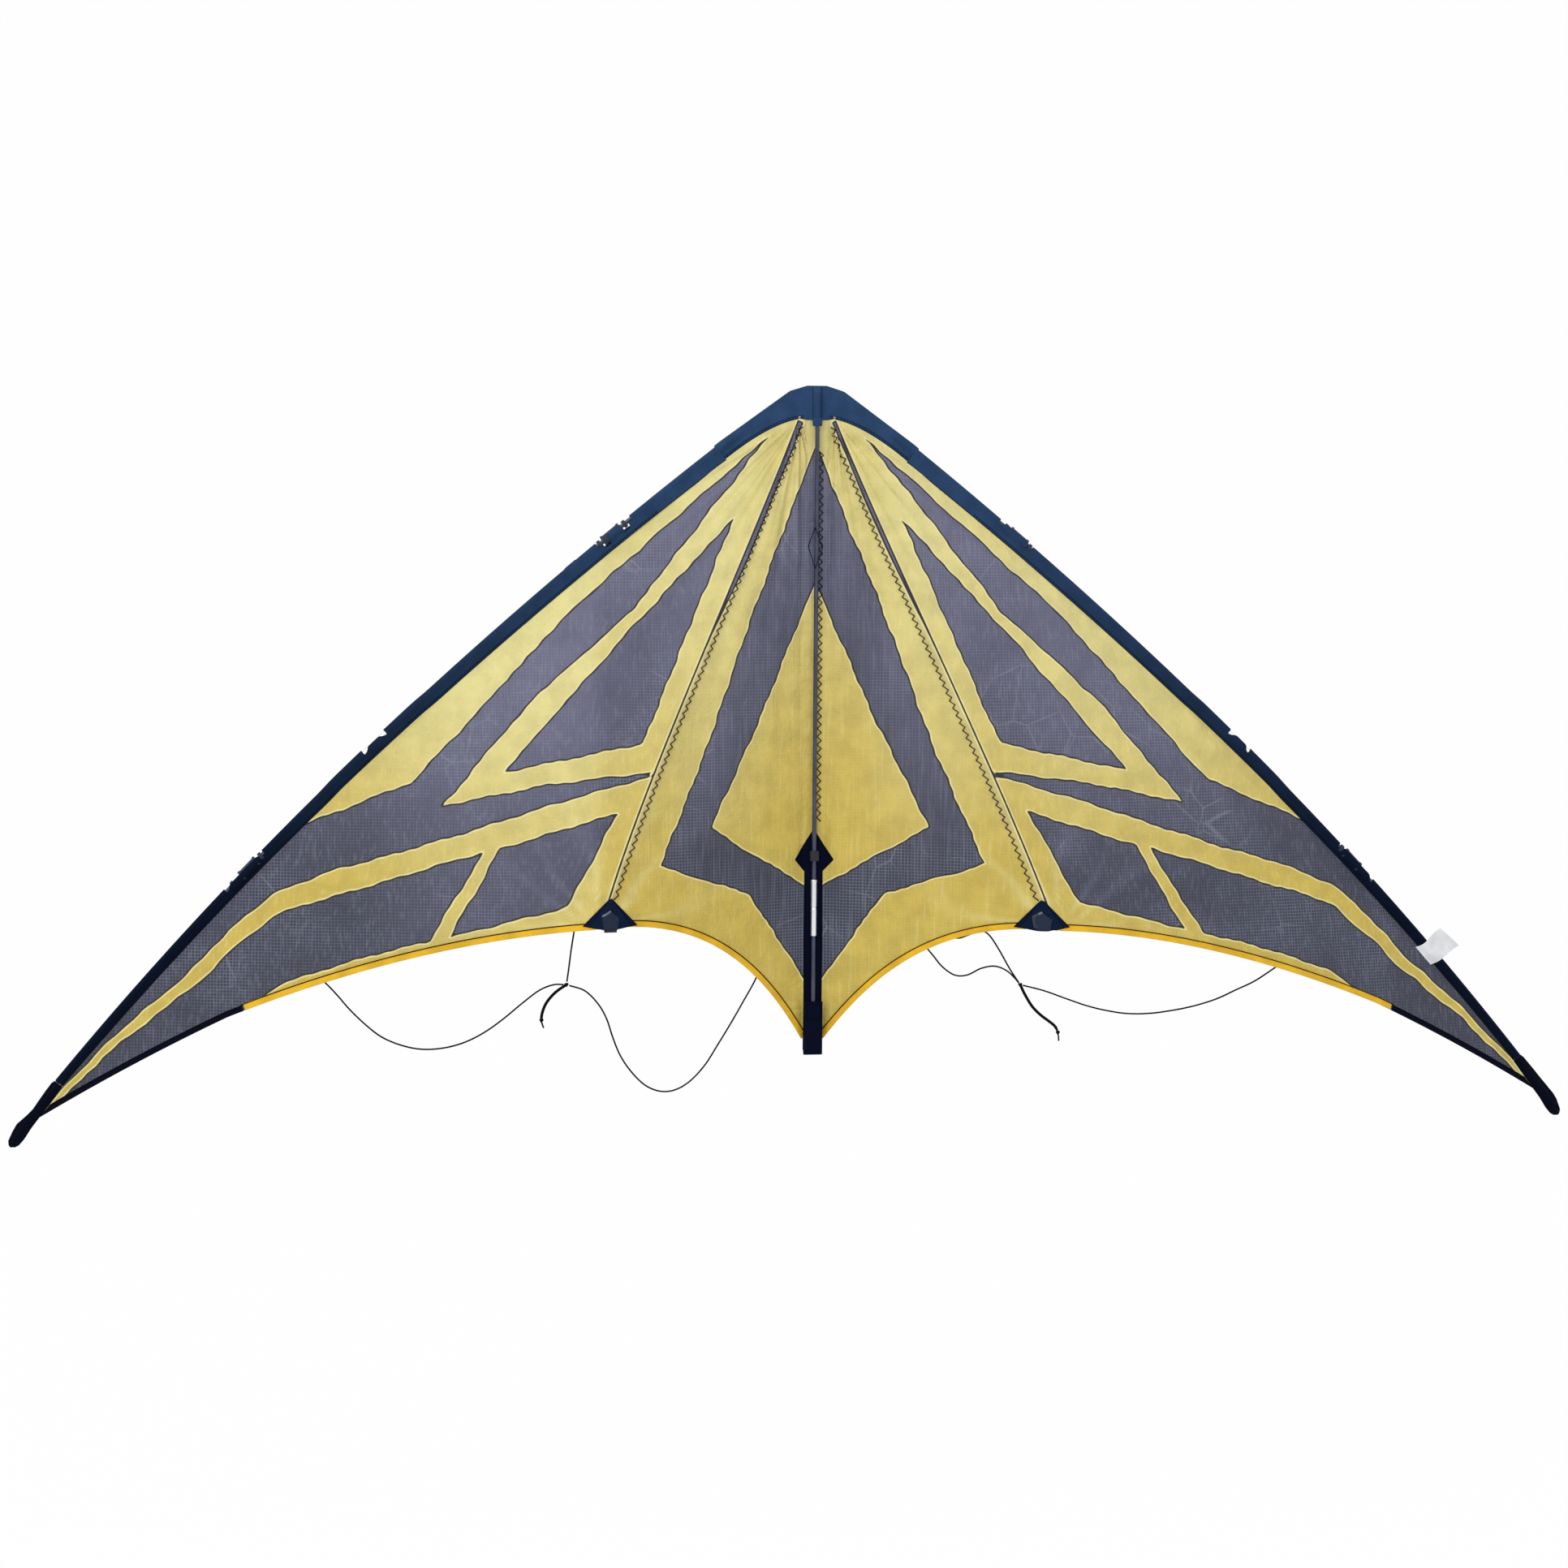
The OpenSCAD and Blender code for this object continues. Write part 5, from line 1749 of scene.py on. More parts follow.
@dataclass
class Wing(WingPart):
    """The printed cloth of one wing, with its seam, hem and dark tape."""

    artwork: Print = Print()
    creases: Creases = Creases()
    thickness: float = 0.36
    inner_size: tuple[int, int] = (64, 190)
    outer_size: tuple[int, int] = (160, 175)
    seam_allowance: float = 9.4
    doubled: float = 0.24
    tuck: float = 3.0
    nose_tuck: float = 4.0
    zigzag_in: tuple[float, float] = (4.8, 6.0)
    hem_width: float = 6.0
    tape_width: float = 5.0
    hinge_columns: tuple[float, ...] = (9.0, 9.35, 9.7)

    def pale(self, x: Array, z: Array) -> Array:
        """How much paler the cloth shows, where the light falls on it and at its folds.

        Args:
            x: Distances from the spine.
            z: Heights.

        Returns:
            Shares from 0 to 1.
        """
        lit = (0.3 if self.side is Side.LEFT else 0.06) * ease(x, 190, 215)
        return np.clip(0.08 + 0.66 * ease(z, -430, -50)
                       + 0.34 * ease(x, 90, 230) * ease(z, -470, -300)
                       + 0.28 * ease(x, 30, 90) * (1 - ease(x, 110, 170)) * ease(z, -460, -340)
                       + lit * (1 - ease(x, 300, 440)) + self.rays(x, z), 0, 1)

    def rays(self, x: Array, z: Array) -> Array:
        """How much paler the folds round the seam's foot are painted: a painted highlight along each fold.

        Args:
            x: Distances from the spine.
            z: Heights.

        Returns:
            Shares to add.
        """
        foot = self.shape.foot
        reach, turn = np.hypot(x - foot[0], z - foot[1]), np.arctan2(x - foot[0], z - foot[1])
        wave = np.sin(13 * turn + 1.4 * np.sin(5 * turn + reach / 30))
        return 1.1 * np.maximum(wave, 0) ** 3 * np.exp(-reach / 45) * ease(reach, 14, 28)

    def panel(self, part: str, grid: Array, from_seam: Array) -> Piece:
        """Makes one panel of cloth from its middle surface, tucked under the nose web.

        Args:
            part: Which panel it is, inner or outer.
            grid: Points in the wing's flat frame.
            from_seam: Distance of each point from the seam.

        Returns:
            The piece.
        """
        grid = np.concatenate([grid[:1] + [0, 0, self.nose_tuck], grid])
        from_seam = np.concatenate([from_seam[:1], from_seam])
        inner = part == "inner"
        normal, half = grid_normals(grid), self.thickness / 2
        allowance = 1 - ease(from_seam, self.seam_allowance - 0.9, self.seam_allowance)
        thick = half + (self.doubled if inner else 0.0) * allowance
        faces = [self.put(g) for g in (grid + normal * thick[..., None], grid - normal * half)]
        middle = self.put(grid)
        x, z = np.abs(middle[..., 0]), middle[..., 2]
        sleeve = self.shape.edge.sail_edge(np.linspace(0, 1, len(grid)))[:, None]
        # pale is painted light on the cloth, and rim places its painted highlight beside the sleeve.
        values = {"print": self.artwork.distance(middle, self.shape, self.side),
                  "pale": self.pale(x, z), "seam_band": allowance * inner,
                  "rim": (np.full_like(x, FAR_OFF) if inner
                          else np.linalg.norm(grid - sleeve, axis=-1))}
        return self.make(f"{part}_panel", skin(*faces), "sail", "printed_sailcloth",
                         f"{part}_sail", blended=inner, values=values)

    def creased(self, patch: Callable, size: tuple[int, int]) -> tuple[Array, Array, Array]:
        """Middle surface of a panel with its folds.

        Args:
            patch: The panel's points by their shares across and down.
            size: Points across and down.

        Returns:
            The points, their distances from the seam and their shares down.
        """
        u, t = shares(*size)
        grid = patch(u, t)
        from_seam = np.linalg.norm(grid - self.shape.seam(t), axis=-1)
        folds = self.creases.height(grid, u, t, from_seam)[..., None]
        return grid + grid_normals(grid) * folds, from_seam, t

    def inner_panel(self) -> None:
        """Makes the panel from the spine to the seam, with its edge on the centre strip."""
        grid, from_seam, _ = self.creased(self.shape.inner, self.inner_size)
        extra = np.repeat(grid[:, :1], len(self.hinge_columns), 1)
        extra[..., 0] = self.hinge_columns
        far_off = np.full(extra.shape[:2], FAR_OFF)
        piece = self.panel("inner", np.concatenate([extra, grid], 1),
                           np.concatenate([far_off, from_seam], 1))
        self.shop.across_hinge(piece, self.side, 8.95, 10.1)

    def outer_panel(self) -> None:
        """Makes the panel from the seam to the sleeve, tucked under the webbing."""
        edge = self.shape.edge
        grid, from_seam, t = self.creased(self.shape.outer, self.outer_size)
        slope = edge.slope(edge.sail_start + (edge.sail_end - edge.sail_start) * t[:, -1])
        tuck = grid[:, -1] + self.tuck * xyz(np.sin(slope), 0, np.cos(slope))
        self.panel("outer", np.concatenate([grid, tuck[:, None]], 1),
                   np.concatenate([from_seam, from_seam[:, -1:]], 1))

    def folded_edge(self, panel: Callable, u0: float, u1: float, width: float, steps: int,
                    overrun: float = 0.0) -> tuple[Solid, Array]:
        """Tape folded over the trailing edge of a panel.

        Args:
            panel: The panel's points by u and t.
            u0: Share of the edge where the tape starts.
            u1: Share where it ends.
            width: The tape's width on each face.
            steps: Rings along it.
            overrun: How far it runs on past the panel's corner.

        Returns:
            The tape's points and faces, and the line of its stitches.
        """
        u = np.linspace(u0, u1, steps)
        foot, above = panel(u, np.ones_like(u)), panel(u, np.full_like(u, 0.94))
        rise = unit(above - foot)
        along = unit(np.gradient(foot, axis=0))
        rise = unit(rise - along * np.sum(rise * along, -1, keepdims=True))
        normal = np.cross(along, rise)
        normal = np.where(normal[:, 1:2] > 0, -normal, normal)
        if overrun:
            foot = np.concatenate([foot, foot[-1:] + overrun * along[-1:]])
            rise, normal = (np.concatenate([v, v[-1:]]) for v in (rise, normal))
        section = [(width, 0.5), (width * 0.5, 0.62), (0.4, 0.66), (-0.3, 0.42), (-0.3, -0.42),
                   (0.4, -0.66), (width * 0.5, -0.62), (width, -0.5), (width, -0.2), (0.1, -0.2),
                   (0.1, 0.2), (width, 0.2)]
        rings = np.stack([foot + rise * a + normal * b for a, b in section], 1)
        line = foot + rise * (width - 0.6) + normal * 0.72
        return loft(self.put(rings)), self.put(line)

    def edges(self) -> None:
        """Makes the golden hem and the dark tape, and sews them."""
        shape = self.shape
        share = shape.tape_share + 0.03 * self.side.sign
        hems = [self.folded_edge(shape.inner, 0.004, 0.945, self.hem_width, 120),
                self.folded_edge(shape.outer, 0.01, share, self.hem_width, 150)]
        self.make("hem_tape", joined(solid for solid, _ in hems), "hem", "gold_tape", "hem")
        for _, line in hems:
            self.shop.sewing.add(f"{self.side.value}_hem_stitches", self.side.body,
                                 Stitch.STRAIGHT, "thread", line, slot="gold_tape")
        solid, line = self.folded_edge(shape.outer, share + 0.003, 0.998, self.tape_width, 90, 7.0)
        self.make("dark_tape", solid, "tape", "navy_tape", "tip_tape")
        self.sew("tape", line)

    def seam_stitches(self) -> None:
        """Sews the zigzag of the seam on both faces."""
        shape, name = self.shape, self.side.value
        tree = self.shop.tree(f"{name}_inner_panel", f"{name}_outer_panel")
        t = np.linspace(0.012, 0.93, 240)
        width = np.linalg.norm(shape.seam(t) - shape.keel(t), axis=-1)
        u = 1 - np.minimum(self.zigzag_in[self.side.sign > 0], 0.45 * width) / width
        line, near = (self.put(shape.inner(u - d, t)) for d in (0, 0.02))
        for face, turn in (("", -1), ("_back", 1)):
            self.shop.sewing.add(f"{name}_seam_zigzag{face}", self.side.body, Stitch.ZIGZAG,
                                 "thread", drape(line, tree, 0.6, turn), line - near,
                                 "printed_sailcloth")

    def build(self) -> None:
        """Makes the wing's cloth."""
        self.inner_panel()
        self.outer_panel()
        self.edges()
        self.seam_stitches()


@dataclass
class EdgeWebbing(WingPart):
    """Webbing of one leading edge: nose web, folded sleeve with its openings, and tip pouch."""

    start: float = 20.0
    end: float = 838.0
    openings: tuple[tuple[float, float], ...] = ((121, 161), (414, 441), (566, 614))
    slots: tuple[tuple[float, float], ...] = ((125.5, 132.5), (149.5, 156.5))
    fitting_r: float = 4.6
    wall: float = 0.7
    edge_half: float = 0.6
    web_half: float = 0.8
    web_end: float = 94.0
    web_columns: tuple[float, ...] = (9.0, 9.4, 9.8, 10.2, 10.65)
    slack: float = 1.45
    cut_tight: float = 0.955

    def profile(self, s: float) -> tuple[Array, Array]:
        """Cross-section of the sleeve at a station.

        Args:
            s: Station along the leading edge.

        Returns:
            Outer and inner outlines, outward and Y.
        """
        edge = self.shape.edge
        bore = float(edge.channel(s))
        r = bore + self.wall
        tail = r - float(edge.sleeve_width(s))
        a = np.linspace(-math.pi / 2, math.pi / 2, 17)
        k = np.linspace(0, 1, 10)[1:]
        slack = self.edge_half + (r - self.edge_half) * (1 - k) ** self.slack
        outer = np.array([*zip(r * np.cos(a), r * np.sin(a)), *zip(k * tail, slack),
                          (tail - 0.3, 0.0), *zip((k * tail)[::-1], -slack[::-1])])
        turn = np.arctan2(outer[:, 1], outer[:, 0])
        return outer, bore * np.stack([np.cos(turn), np.sin(turn)], -1)

    def ring(self, s: float, outline: Array) -> Array:
        """Points of a cross-section in the kite's frame."""
        return self.put(self.shape.edge.point(s, outline[:, 0], outline[:, 1]))

    def tube_part(self, s0: float, s1: float) -> tuple[Solid, Array]:
        """One closed stretch of the sleeve, its cut ends drawn in a little.

        Args:
            s0: Station where it starts.
            s1: Station where it ends.

        Returns:
            Its points and faces, and 1 for each sewn point, where painted shade darkens the edge.
        """
        steps = max(4, int((s1 - s0) / 7))
        outer, inner = [], []
        for k, s in enumerate(np.linspace(s0, s1, steps)):
            a, b = self.profile(s)
            outer.append(self.ring(s, a * [1, self.cut_tight if k in (0, steps - 1) else 1.0]))
            inner.append(self.ring(s, b))
        tail = np.argsort(self.profile(s0)[0][:, 0])[:3]
        sewn = np.zeros((2, steps, len(outer[0])))
        sewn[0][:, tail] = 1
        return hollow(np.array(outer), np.array(inner)), sewn.ravel()

    def flap_part(self, s0: float, s1: float) -> tuple[Solid, Array]:
        """The cloth round a fitting at an opening: whole in front but for two slots, cut behind.

        Args:
            s0: Station where the opening starts.
            s1: Station where it ends.

        Returns:
            Its points and faces, and 1 for each sewn point, where painted shade darkens the edge.
        """
        rings = []
        for s in np.linspace(s0 - 2.5, s1 + 2.5, 40):
            tail = self.profile(s)[0][:, 0].min() + 0.3
            r = float(self.shape.edge.channel(s)) + self.wall
            middle = float(ease(min(s - s0, s1 - s), 1, 8))
            slot = self.side is Side.LEFT and any(a < s < b for a, b in self.slots)
            q = np.linspace(-5.8 if slot else -1.0 + 3.8 * middle, tail, 12)
            cut = np.linspace(-5.6 + 1.6 * middle, tail, 12)
            swollen = (self.fitting_r * middle) ** 2
            front, back = (
                np.maximum((self.edge_half + (r - self.edge_half) * (1 - v / tail) ** self.slack)
                           * 0.96, np.sqrt(np.maximum(swollen - v * v, 0)) + 0.5)
                for v in (q, cut))
            thin = [np.maximum(v - 0.5, 0.05)[:-3] for v in (front, back)]
            rings.append(self.ring(s, np.array([
                *zip(cut, back), (tail - 0.3, 0), *zip(q[::-1], -front[::-1]),
                *zip(q[:-3], -thin[0]), *zip(cut[:-3][::-1], thin[1][::-1])])))
        sewn = np.zeros((len(rings), len(rings[0])))
        sewn[:, 11:14] = 1
        return loft(np.array(rings)), sewn.ravel()

    def sleeve(self) -> None:
        """Makes the sleeve and sews its inner edge."""
        edge, parts, s = self.shape.edge, [], self.start
        for low, high in self.openings:
            parts += [self.tube_part(s, low), self.flap_part(low, high)]
            s = high
        parts.append(self.tube_part(s, self.end))
        # The sewn share paints shade along the sleeve's inner edge.
        self.make("sleeve", joined(p[0] for p in parts), "webbing", "navy_webbing",
                  "edge_sleeve", values={"sewn": np.concatenate([p[1] for p in parts])})
        stations = np.linspace(100, self.end - 3, 260)
        for lift in (-1, 1):
            line = edge.sleeve_inner(stations) + (edge.point(stations, 2.1) - edge.point(stations))
            line[:, 1] = lift * (self.edge_half + 0.42)
            self.sew("sleeve", self.put(line), "navy_webbing")

    def nose_web(self) -> None:
        """Makes the nose web of this wing, swollen over the rod's pocket."""
        edge = self.shape.edge
        x = np.concatenate([self.web_columns, np.linspace(12, self.web_end, 62)])
        curve = self.shape.web_edge(np.linspace(0, 1, 50))
        low = np.interp(x, [9, *curve[:, 0]], [-31.0, *(curve[:, 2] + 0.2)])
        top = np.interp(x, [9, 12, 25, 90.4, self.web_end], [0, -0.9, -5, -52.4, -55.4])
        v = np.linspace(0, 1, 26)[:, None]
        z = low + (top - low) * v
        x = np.broadcast_to(x, z.shape)
        slope = math.radians(edge.nose_slope)
        dx, dz = x - edge.top[0], z - edge.top[1]
        station = dx * math.cos(slope) - dz * math.sin(slope)
        off = np.abs(dx * math.sin(slope) + dz * math.cos(slope))
        swell = ease(1 - off / 6.3) * ease(station, -14, -1)
        half = self.web_half + 2.85 * swell
        half = half * (0.55 + 0.45 * ease(np.minimum(v, 1 - v) + 0 * z, 0, 0.04))
        middle = 0.5 * (1 - swell)
        faces = [self.put(xyz(x, middle + turn * half, z)) for turn in (-1, 1)]
        piece = self.make("nose_panel", skin(*faces), "webbing", "navy_webbing", "nose_web",
                          blended=True)
        self.shop.across_hinge(piece, self.side, 8.95, 10.65)
        clear = x[0] > 12
        for inset in (1.8, 3.6):
            y = np.interp(x[0][clear], x[0], (middle - half)[2]) - 0.2
            self.sew("web", self.put(xyz(x[0][clear], y, (low + inset)[clear])), "navy_webbing")

    def tip_pouch(self) -> None:
        """Makes the pouch that closes the sleeve over the rod's end."""
        edge = self.shape.edge
        a = np.concatenate([np.linspace(-11, 50, 56), np.linspace(50.8, 58.8, 14)])
        top = np.interp(a, [-11, -8, 4, 20, 27, 39, 46, 55, 58, 58.8],
                        [3.4, 4.3, 3.7, 2.4, 3.0, 5.2, 4.2, 2.0, -0.5, -2.2])
        if self.side is Side.RIGHT:
            top = top + np.interp(a, [-8, 4, 20, 27, 39, 46, 55], [0, 1.1, 2.7, 2.4, 0.6, 0.9, 0])
        low = np.interp(a, [-11, 9, 24, 34, 46, 53, 56.5, 58.8],
                        [-5.6, -6.5, -6.9, -7.2, -8.4, -8.1, -6.4, -3.4])
        v = np.linspace(0, 1, 22)[:, None]
        out = low + (top - low) * v
        swell = ease(1 - np.abs(out) / 4.7)
        half = (self.web_half + 2.65 * swell) * (0.25 + 0.75 * ease(58.8 - a, 0, 6))
        half = half * (0.5 + 0.5 * ease(np.minimum(v, 1 - v) + 0 * out, 0, 0.08))
        half = half + 0.12 * np.sin(a / 2.3 + out / 1.7)
        s = np.broadcast_to(850 + a, out.shape)
        faces = [self.put(edge.point(s, out, turn * half)) for turn in (-1, 1)]
        self.make("tip_pouch", skin(*faces), "tape", "navy_webbing", "tip_web")
        for level in (0.12, 0.9):
            j = int(level * 21)
            line = edge.point(s[j, 3:-6], out[j, 3:-6], -half[j, 3:-6] - 0.15)
            self.sew("pouch", self.put(line), "navy_webbing")

    def build(self) -> None:
        """Makes the webbing of this leading edge."""
        self.sleeve()
        self.nose_web()
        self.tip_pouch()


@dataclass
class Keel:
    """Cloth and webbing along the spine: strip, nose tab, diamond, tail and strap."""

    shop: Workshop
    artwork: Print = Print()
    half_width: float = 9.0
    half_cloth: float = 0.18
    nose_drop: float = 31.0
    foot: float = -594.0
    diamond_top: float = -404.7
    diamond_corner: tuple[float, float] = (18.0, -432.5)
    diamond_neck: tuple[float, float] = (8.7, -443.5)
    diamond_half: float = 0.62
    tail_top: float = -441.0
    tail_half: float = 8.6
    tail_foot: float = -612.0
    strap_half: float = 8.3
    strap_bulge: float = 0.45
    loop_half: float = 8.0

    def strip(self) -> None:
        """Makes the printed strip that both wings are sewn to."""
        x, z = np.meshgrid(np.linspace(-self.half_width, self.half_width, 25),
                           np.linspace(-self.nose_drop + 4, self.foot, 200))
        grid, half = xyz(x, 0.5, z), [0, self.half_cloth, 0]
        # Painted light: the strip is paler towards the top, by the pale share.
        pale = np.clip(0.08 + 0.66 * ease(z, -430, -50), 0, 1)
        values = {"print": self.artwork.distance(grid, self.shop.shape, Side.RIGHT),
                  "pale": pale, "seam_band": 0 * pale, "rim": 0 * pale + FAR_OFF}
        self.shop.make("center_strip", skin(grid - half, grid + half), "sail",
                       "printed_sailcloth", "center", "center_seam",
                       values=values)

    def nose_tab(self) -> None:
        """Makes the middle of the nose web, draped over the spine's end, and its pocket."""
        shop = self.shop
        x, z = np.meshgrid(np.linspace(-self.half_width, self.half_width, 37),
                           np.linspace(0, -self.nose_drop, 40))
        swell = ease(1 - np.abs(x) / 6.4) * ease(-z, 0.5, 7)
        front = xyz(x, -0.3 - 6.0 * swell, z)
        shop.make("nose_tab_cloth", skin(front, xyz(x, 1.3, z)), "webbing", "navy_webbing",
                  "center", "nose_tab")
        for edge in (-3.9, 3.9):
            row = front[3:-2, np.argmin(np.abs(x[0] - edge))] - [0, 0.05, 0]
            shop.sew("tab_stitches", "center", row, "navy_webbing")
        turn = turns_of(36)

        def stadium(z_at: float, r: float, half: float) -> Array:
            """Rounded outline about the spine at one height."""
            side = np.sign(np.cos(turn)) * half
            return xyz(side + r * np.cos(turn), -3.4 + r * np.sin(turn), z_at)

        levels = np.linspace(-29, -36.6, 6)
        outer = np.array([stadium(v, 3.0 - (0.25 if k == 5 else 0), 1.4)
                          for k, v in enumerate(levels)])
        inner = np.array([stadium(v, 2.35, 1.2) for v in levels])
        shop.make("spine_pocket", hollow(outer, inner), "webbing", "navy_webbing", "center")

    def diamond(self, side: Side) -> None:
        """Makes half of the dark diamond that spreads the tee's push over the cloth.

        Args:
            side: The wing that this half reaches.
        """
        shop, half = self.shop, [0, self.diamond_half, 0]
        tree = shop.tree("center_strip", f"{side.value}_inner_panel")
        z = np.linspace(self.diamond_top, self.diamond_neck[1], 44)
        reach = np.interp(z, [self.diamond_neck[1], self.diamond_corner[1], self.diamond_top],
                          [self.diamond_neck[0], self.diamond_corner[0], 0.35])
        x = side.sign * reach[:, None] * np.linspace(0, 1, 30)
        middle = drape(xyz(x, 0, z[:, None]), tree, -0.18)
        piece = shop.make(f"{side.value}_keel_diamond", skin(middle - half, middle + half),
                          "keel", "navy_tape", None, "keel_patch")
        shop.across_hinge(piece, side, 8.95, 10.1)
        edge = drape(xyz(side.sign * (reach - 1.4), 0, z)[4:-3], tree, self.diamond_half)
        off = np.abs(edge[:, 0])
        for there, body in ((off < 8.6, "center"), (off > 10.3, side.body)):
            order = np.where(there)[0]
            for run in np.split(order, np.where(np.diff(order) > 1)[0] + 1):
                if len(run) > 2:
                    shop.sew(f"{body}_diamond_stitches", body, edge[run])

    def tail(self) -> None:
        """Makes the dark tail strip under the spine."""
        z = np.linspace(self.tail_top, self.tail_foot, 120)
        x = np.linspace(-1, 1, 15)
        half = self.tail_half - 1.6 * ease(-z, 609.5, 612) + 0.14 * np.sin(z / 17)
        cup = 0.25 * np.sin(z / 31)[:, None] * (1 - x ** 2)
        front = xyz(half[:, None] * x, -0.32 + cup * 0.4, z[:, None])
        back = front.copy()
        back[..., 1] = 1.32
        self.shop.make("keel_tail", skin(front, back), "keel", "navy_tape", "center")
        for side in (-1, 1):
            self.shop.sew("tail_stitches", "center", xyz(side * (half - 1.3), -0.55, z)[4:-8])

    def bulge(self, x: Array) -> Array:
        """How far the strap's middle stands out over the spine's end."""
        return self.strap_bulge * np.cos(x / self.strap_half * math.pi / 2) ** 2

    def strap(self) -> None:
        """Makes the flap that folds up over the spine's lower end."""
        path = smooth_route([(0, 0.5, -610.2), (0, 0.42, -611.6), (0, -0.2, -612.55),
                             (0, -1.5, -612.85), (0, -3.4, -612.9), (0, -5.6, -612.5),
                             (0, -6.6, -611.2), (0, -6.95, -609), (0, -6.95, -600),
                             (0, -6.95, -588), (0, -6.95, -576), (0, -6.9, -563.6)], 8)
        half = 0.6 * unit(np.cross(np.gradient(path, axis=0), [1.0, 0, 0]))[:, None]
        x = np.linspace(-self.strap_half, self.strap_half, 21)
        grid = np.repeat(path[:, None], len(x), 1)
        grid[..., 0] = x
        grid[..., 1] -= ease(length_along(path), 12, 20)[:, None] * self.bulge(x)
        flap = self.shop.make("tail_flap", skin(grid + half, grid - half), "keel",
                              "navy_webbing", None, "tail_strap")
        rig.blend(flap, "center", "tail_strap", (0, -0.0003, 0), (0, -0.0034, 0))
        line = polyline([(-6.6, -7.7, -566), (6.6, -7.7, -566), (6.6, -7.85, -580),
                         (-6.6, -7.85, -580), (-6.6, -7.7, -566)], 12)
        line[:, 1] -= self.bulge(line[:, 0])
        self.shop.sew("strap_stitches", "tail_strap", line, "navy_webbing")

    def keeper(self) -> None:
        """Makes the soft loop that holds the middle of the upper spreader."""
        turn = turns_of(28)
        rings = []
        for r in (2.75, 2.1):
            y = 3.8 + r * np.cos(turn)
            if r > 2.5:
                y = np.where(y < 3.0, np.maximum(1.05, 3.0 - (3.0 - y) * 1.35), y)
            z = -142 + r * np.sin(turn) * np.where((r > 2.5) & (y < 3), 1.25, 1.0)
            rings.append(xyz(np.linspace(-self.loop_half, self.loop_half, 9)[:, None], y, z))
        x, z = np.meshgrid(np.linspace(-self.loop_half, self.loop_half, 13),
                           np.linspace(-146, -138, 7))
        seat = xyz(x, 0.78, z)
        self.shop.make("spreader_loop", joined([hollow(*rings), skin(seat, seat + [0, 0.6, 0])]),
                       "keel", "navy_webbing", "center", "spreader_keeper")

    def centre_stitches(self) -> None:
        """Sews the zigzag beside the spine, and the thin crossed thread round it."""
        shop, tree = self.shop, self.shop.tree("center_strip")
        high, low = (shop.camera.on(tree, x * POINT_SCALE, y * POINT_SCALE, 0.25)
                     for x, y in ((1009.5, 556), (1008.5, 1012)))
        line = np.linspace(high, low, 180)
        line[:, 0] = np.clip(line[:, 0], 4.4, 6.2)
        for face, y in (("", -0.05), ("_back", 1.0)):
            row = line.copy()
            row[:, 1] = y
            side = np.tile([1.0, 0, 0], (len(row), 1))
            shop.sewing.add(f"center_zigzag{face}", "center", Stitch.ZIGZAG, "thread", row, side,
                            "printed_sailcloth")
        path = polyline([shop.camera.on(tree, x * POINT_SCALE, y * POINT_SCALE, 0.4)
                         for x, y in ((1003, 650), (996, 673), (1003, 701), (1013.5, 674),
                                      (1003, 650))], 9)
        path[:, 0] = np.clip(path[:, 0], -8.6, 8.6)
        path[:, 1] = -0.1 - 6.9 * ease(1 - np.abs(path[:, 0]) / 7.5)
        path = path[np.concatenate([[True], np.linalg.norm(np.diff(path, axis=0), axis=1) > 1e-3])]
        shop.make("crossed_thread", tube(path, 0.34, 6), "navy_thread", "navy_tape", "center")

    def build(self) -> None:
        """Makes everything along the spine but the rods."""
        self.strip()
        self.nose_tab()
        for side in Side:
            self.diamond(side)
        self.tail()
        self.strap()
        self.keeper()
        self.centre_stitches()


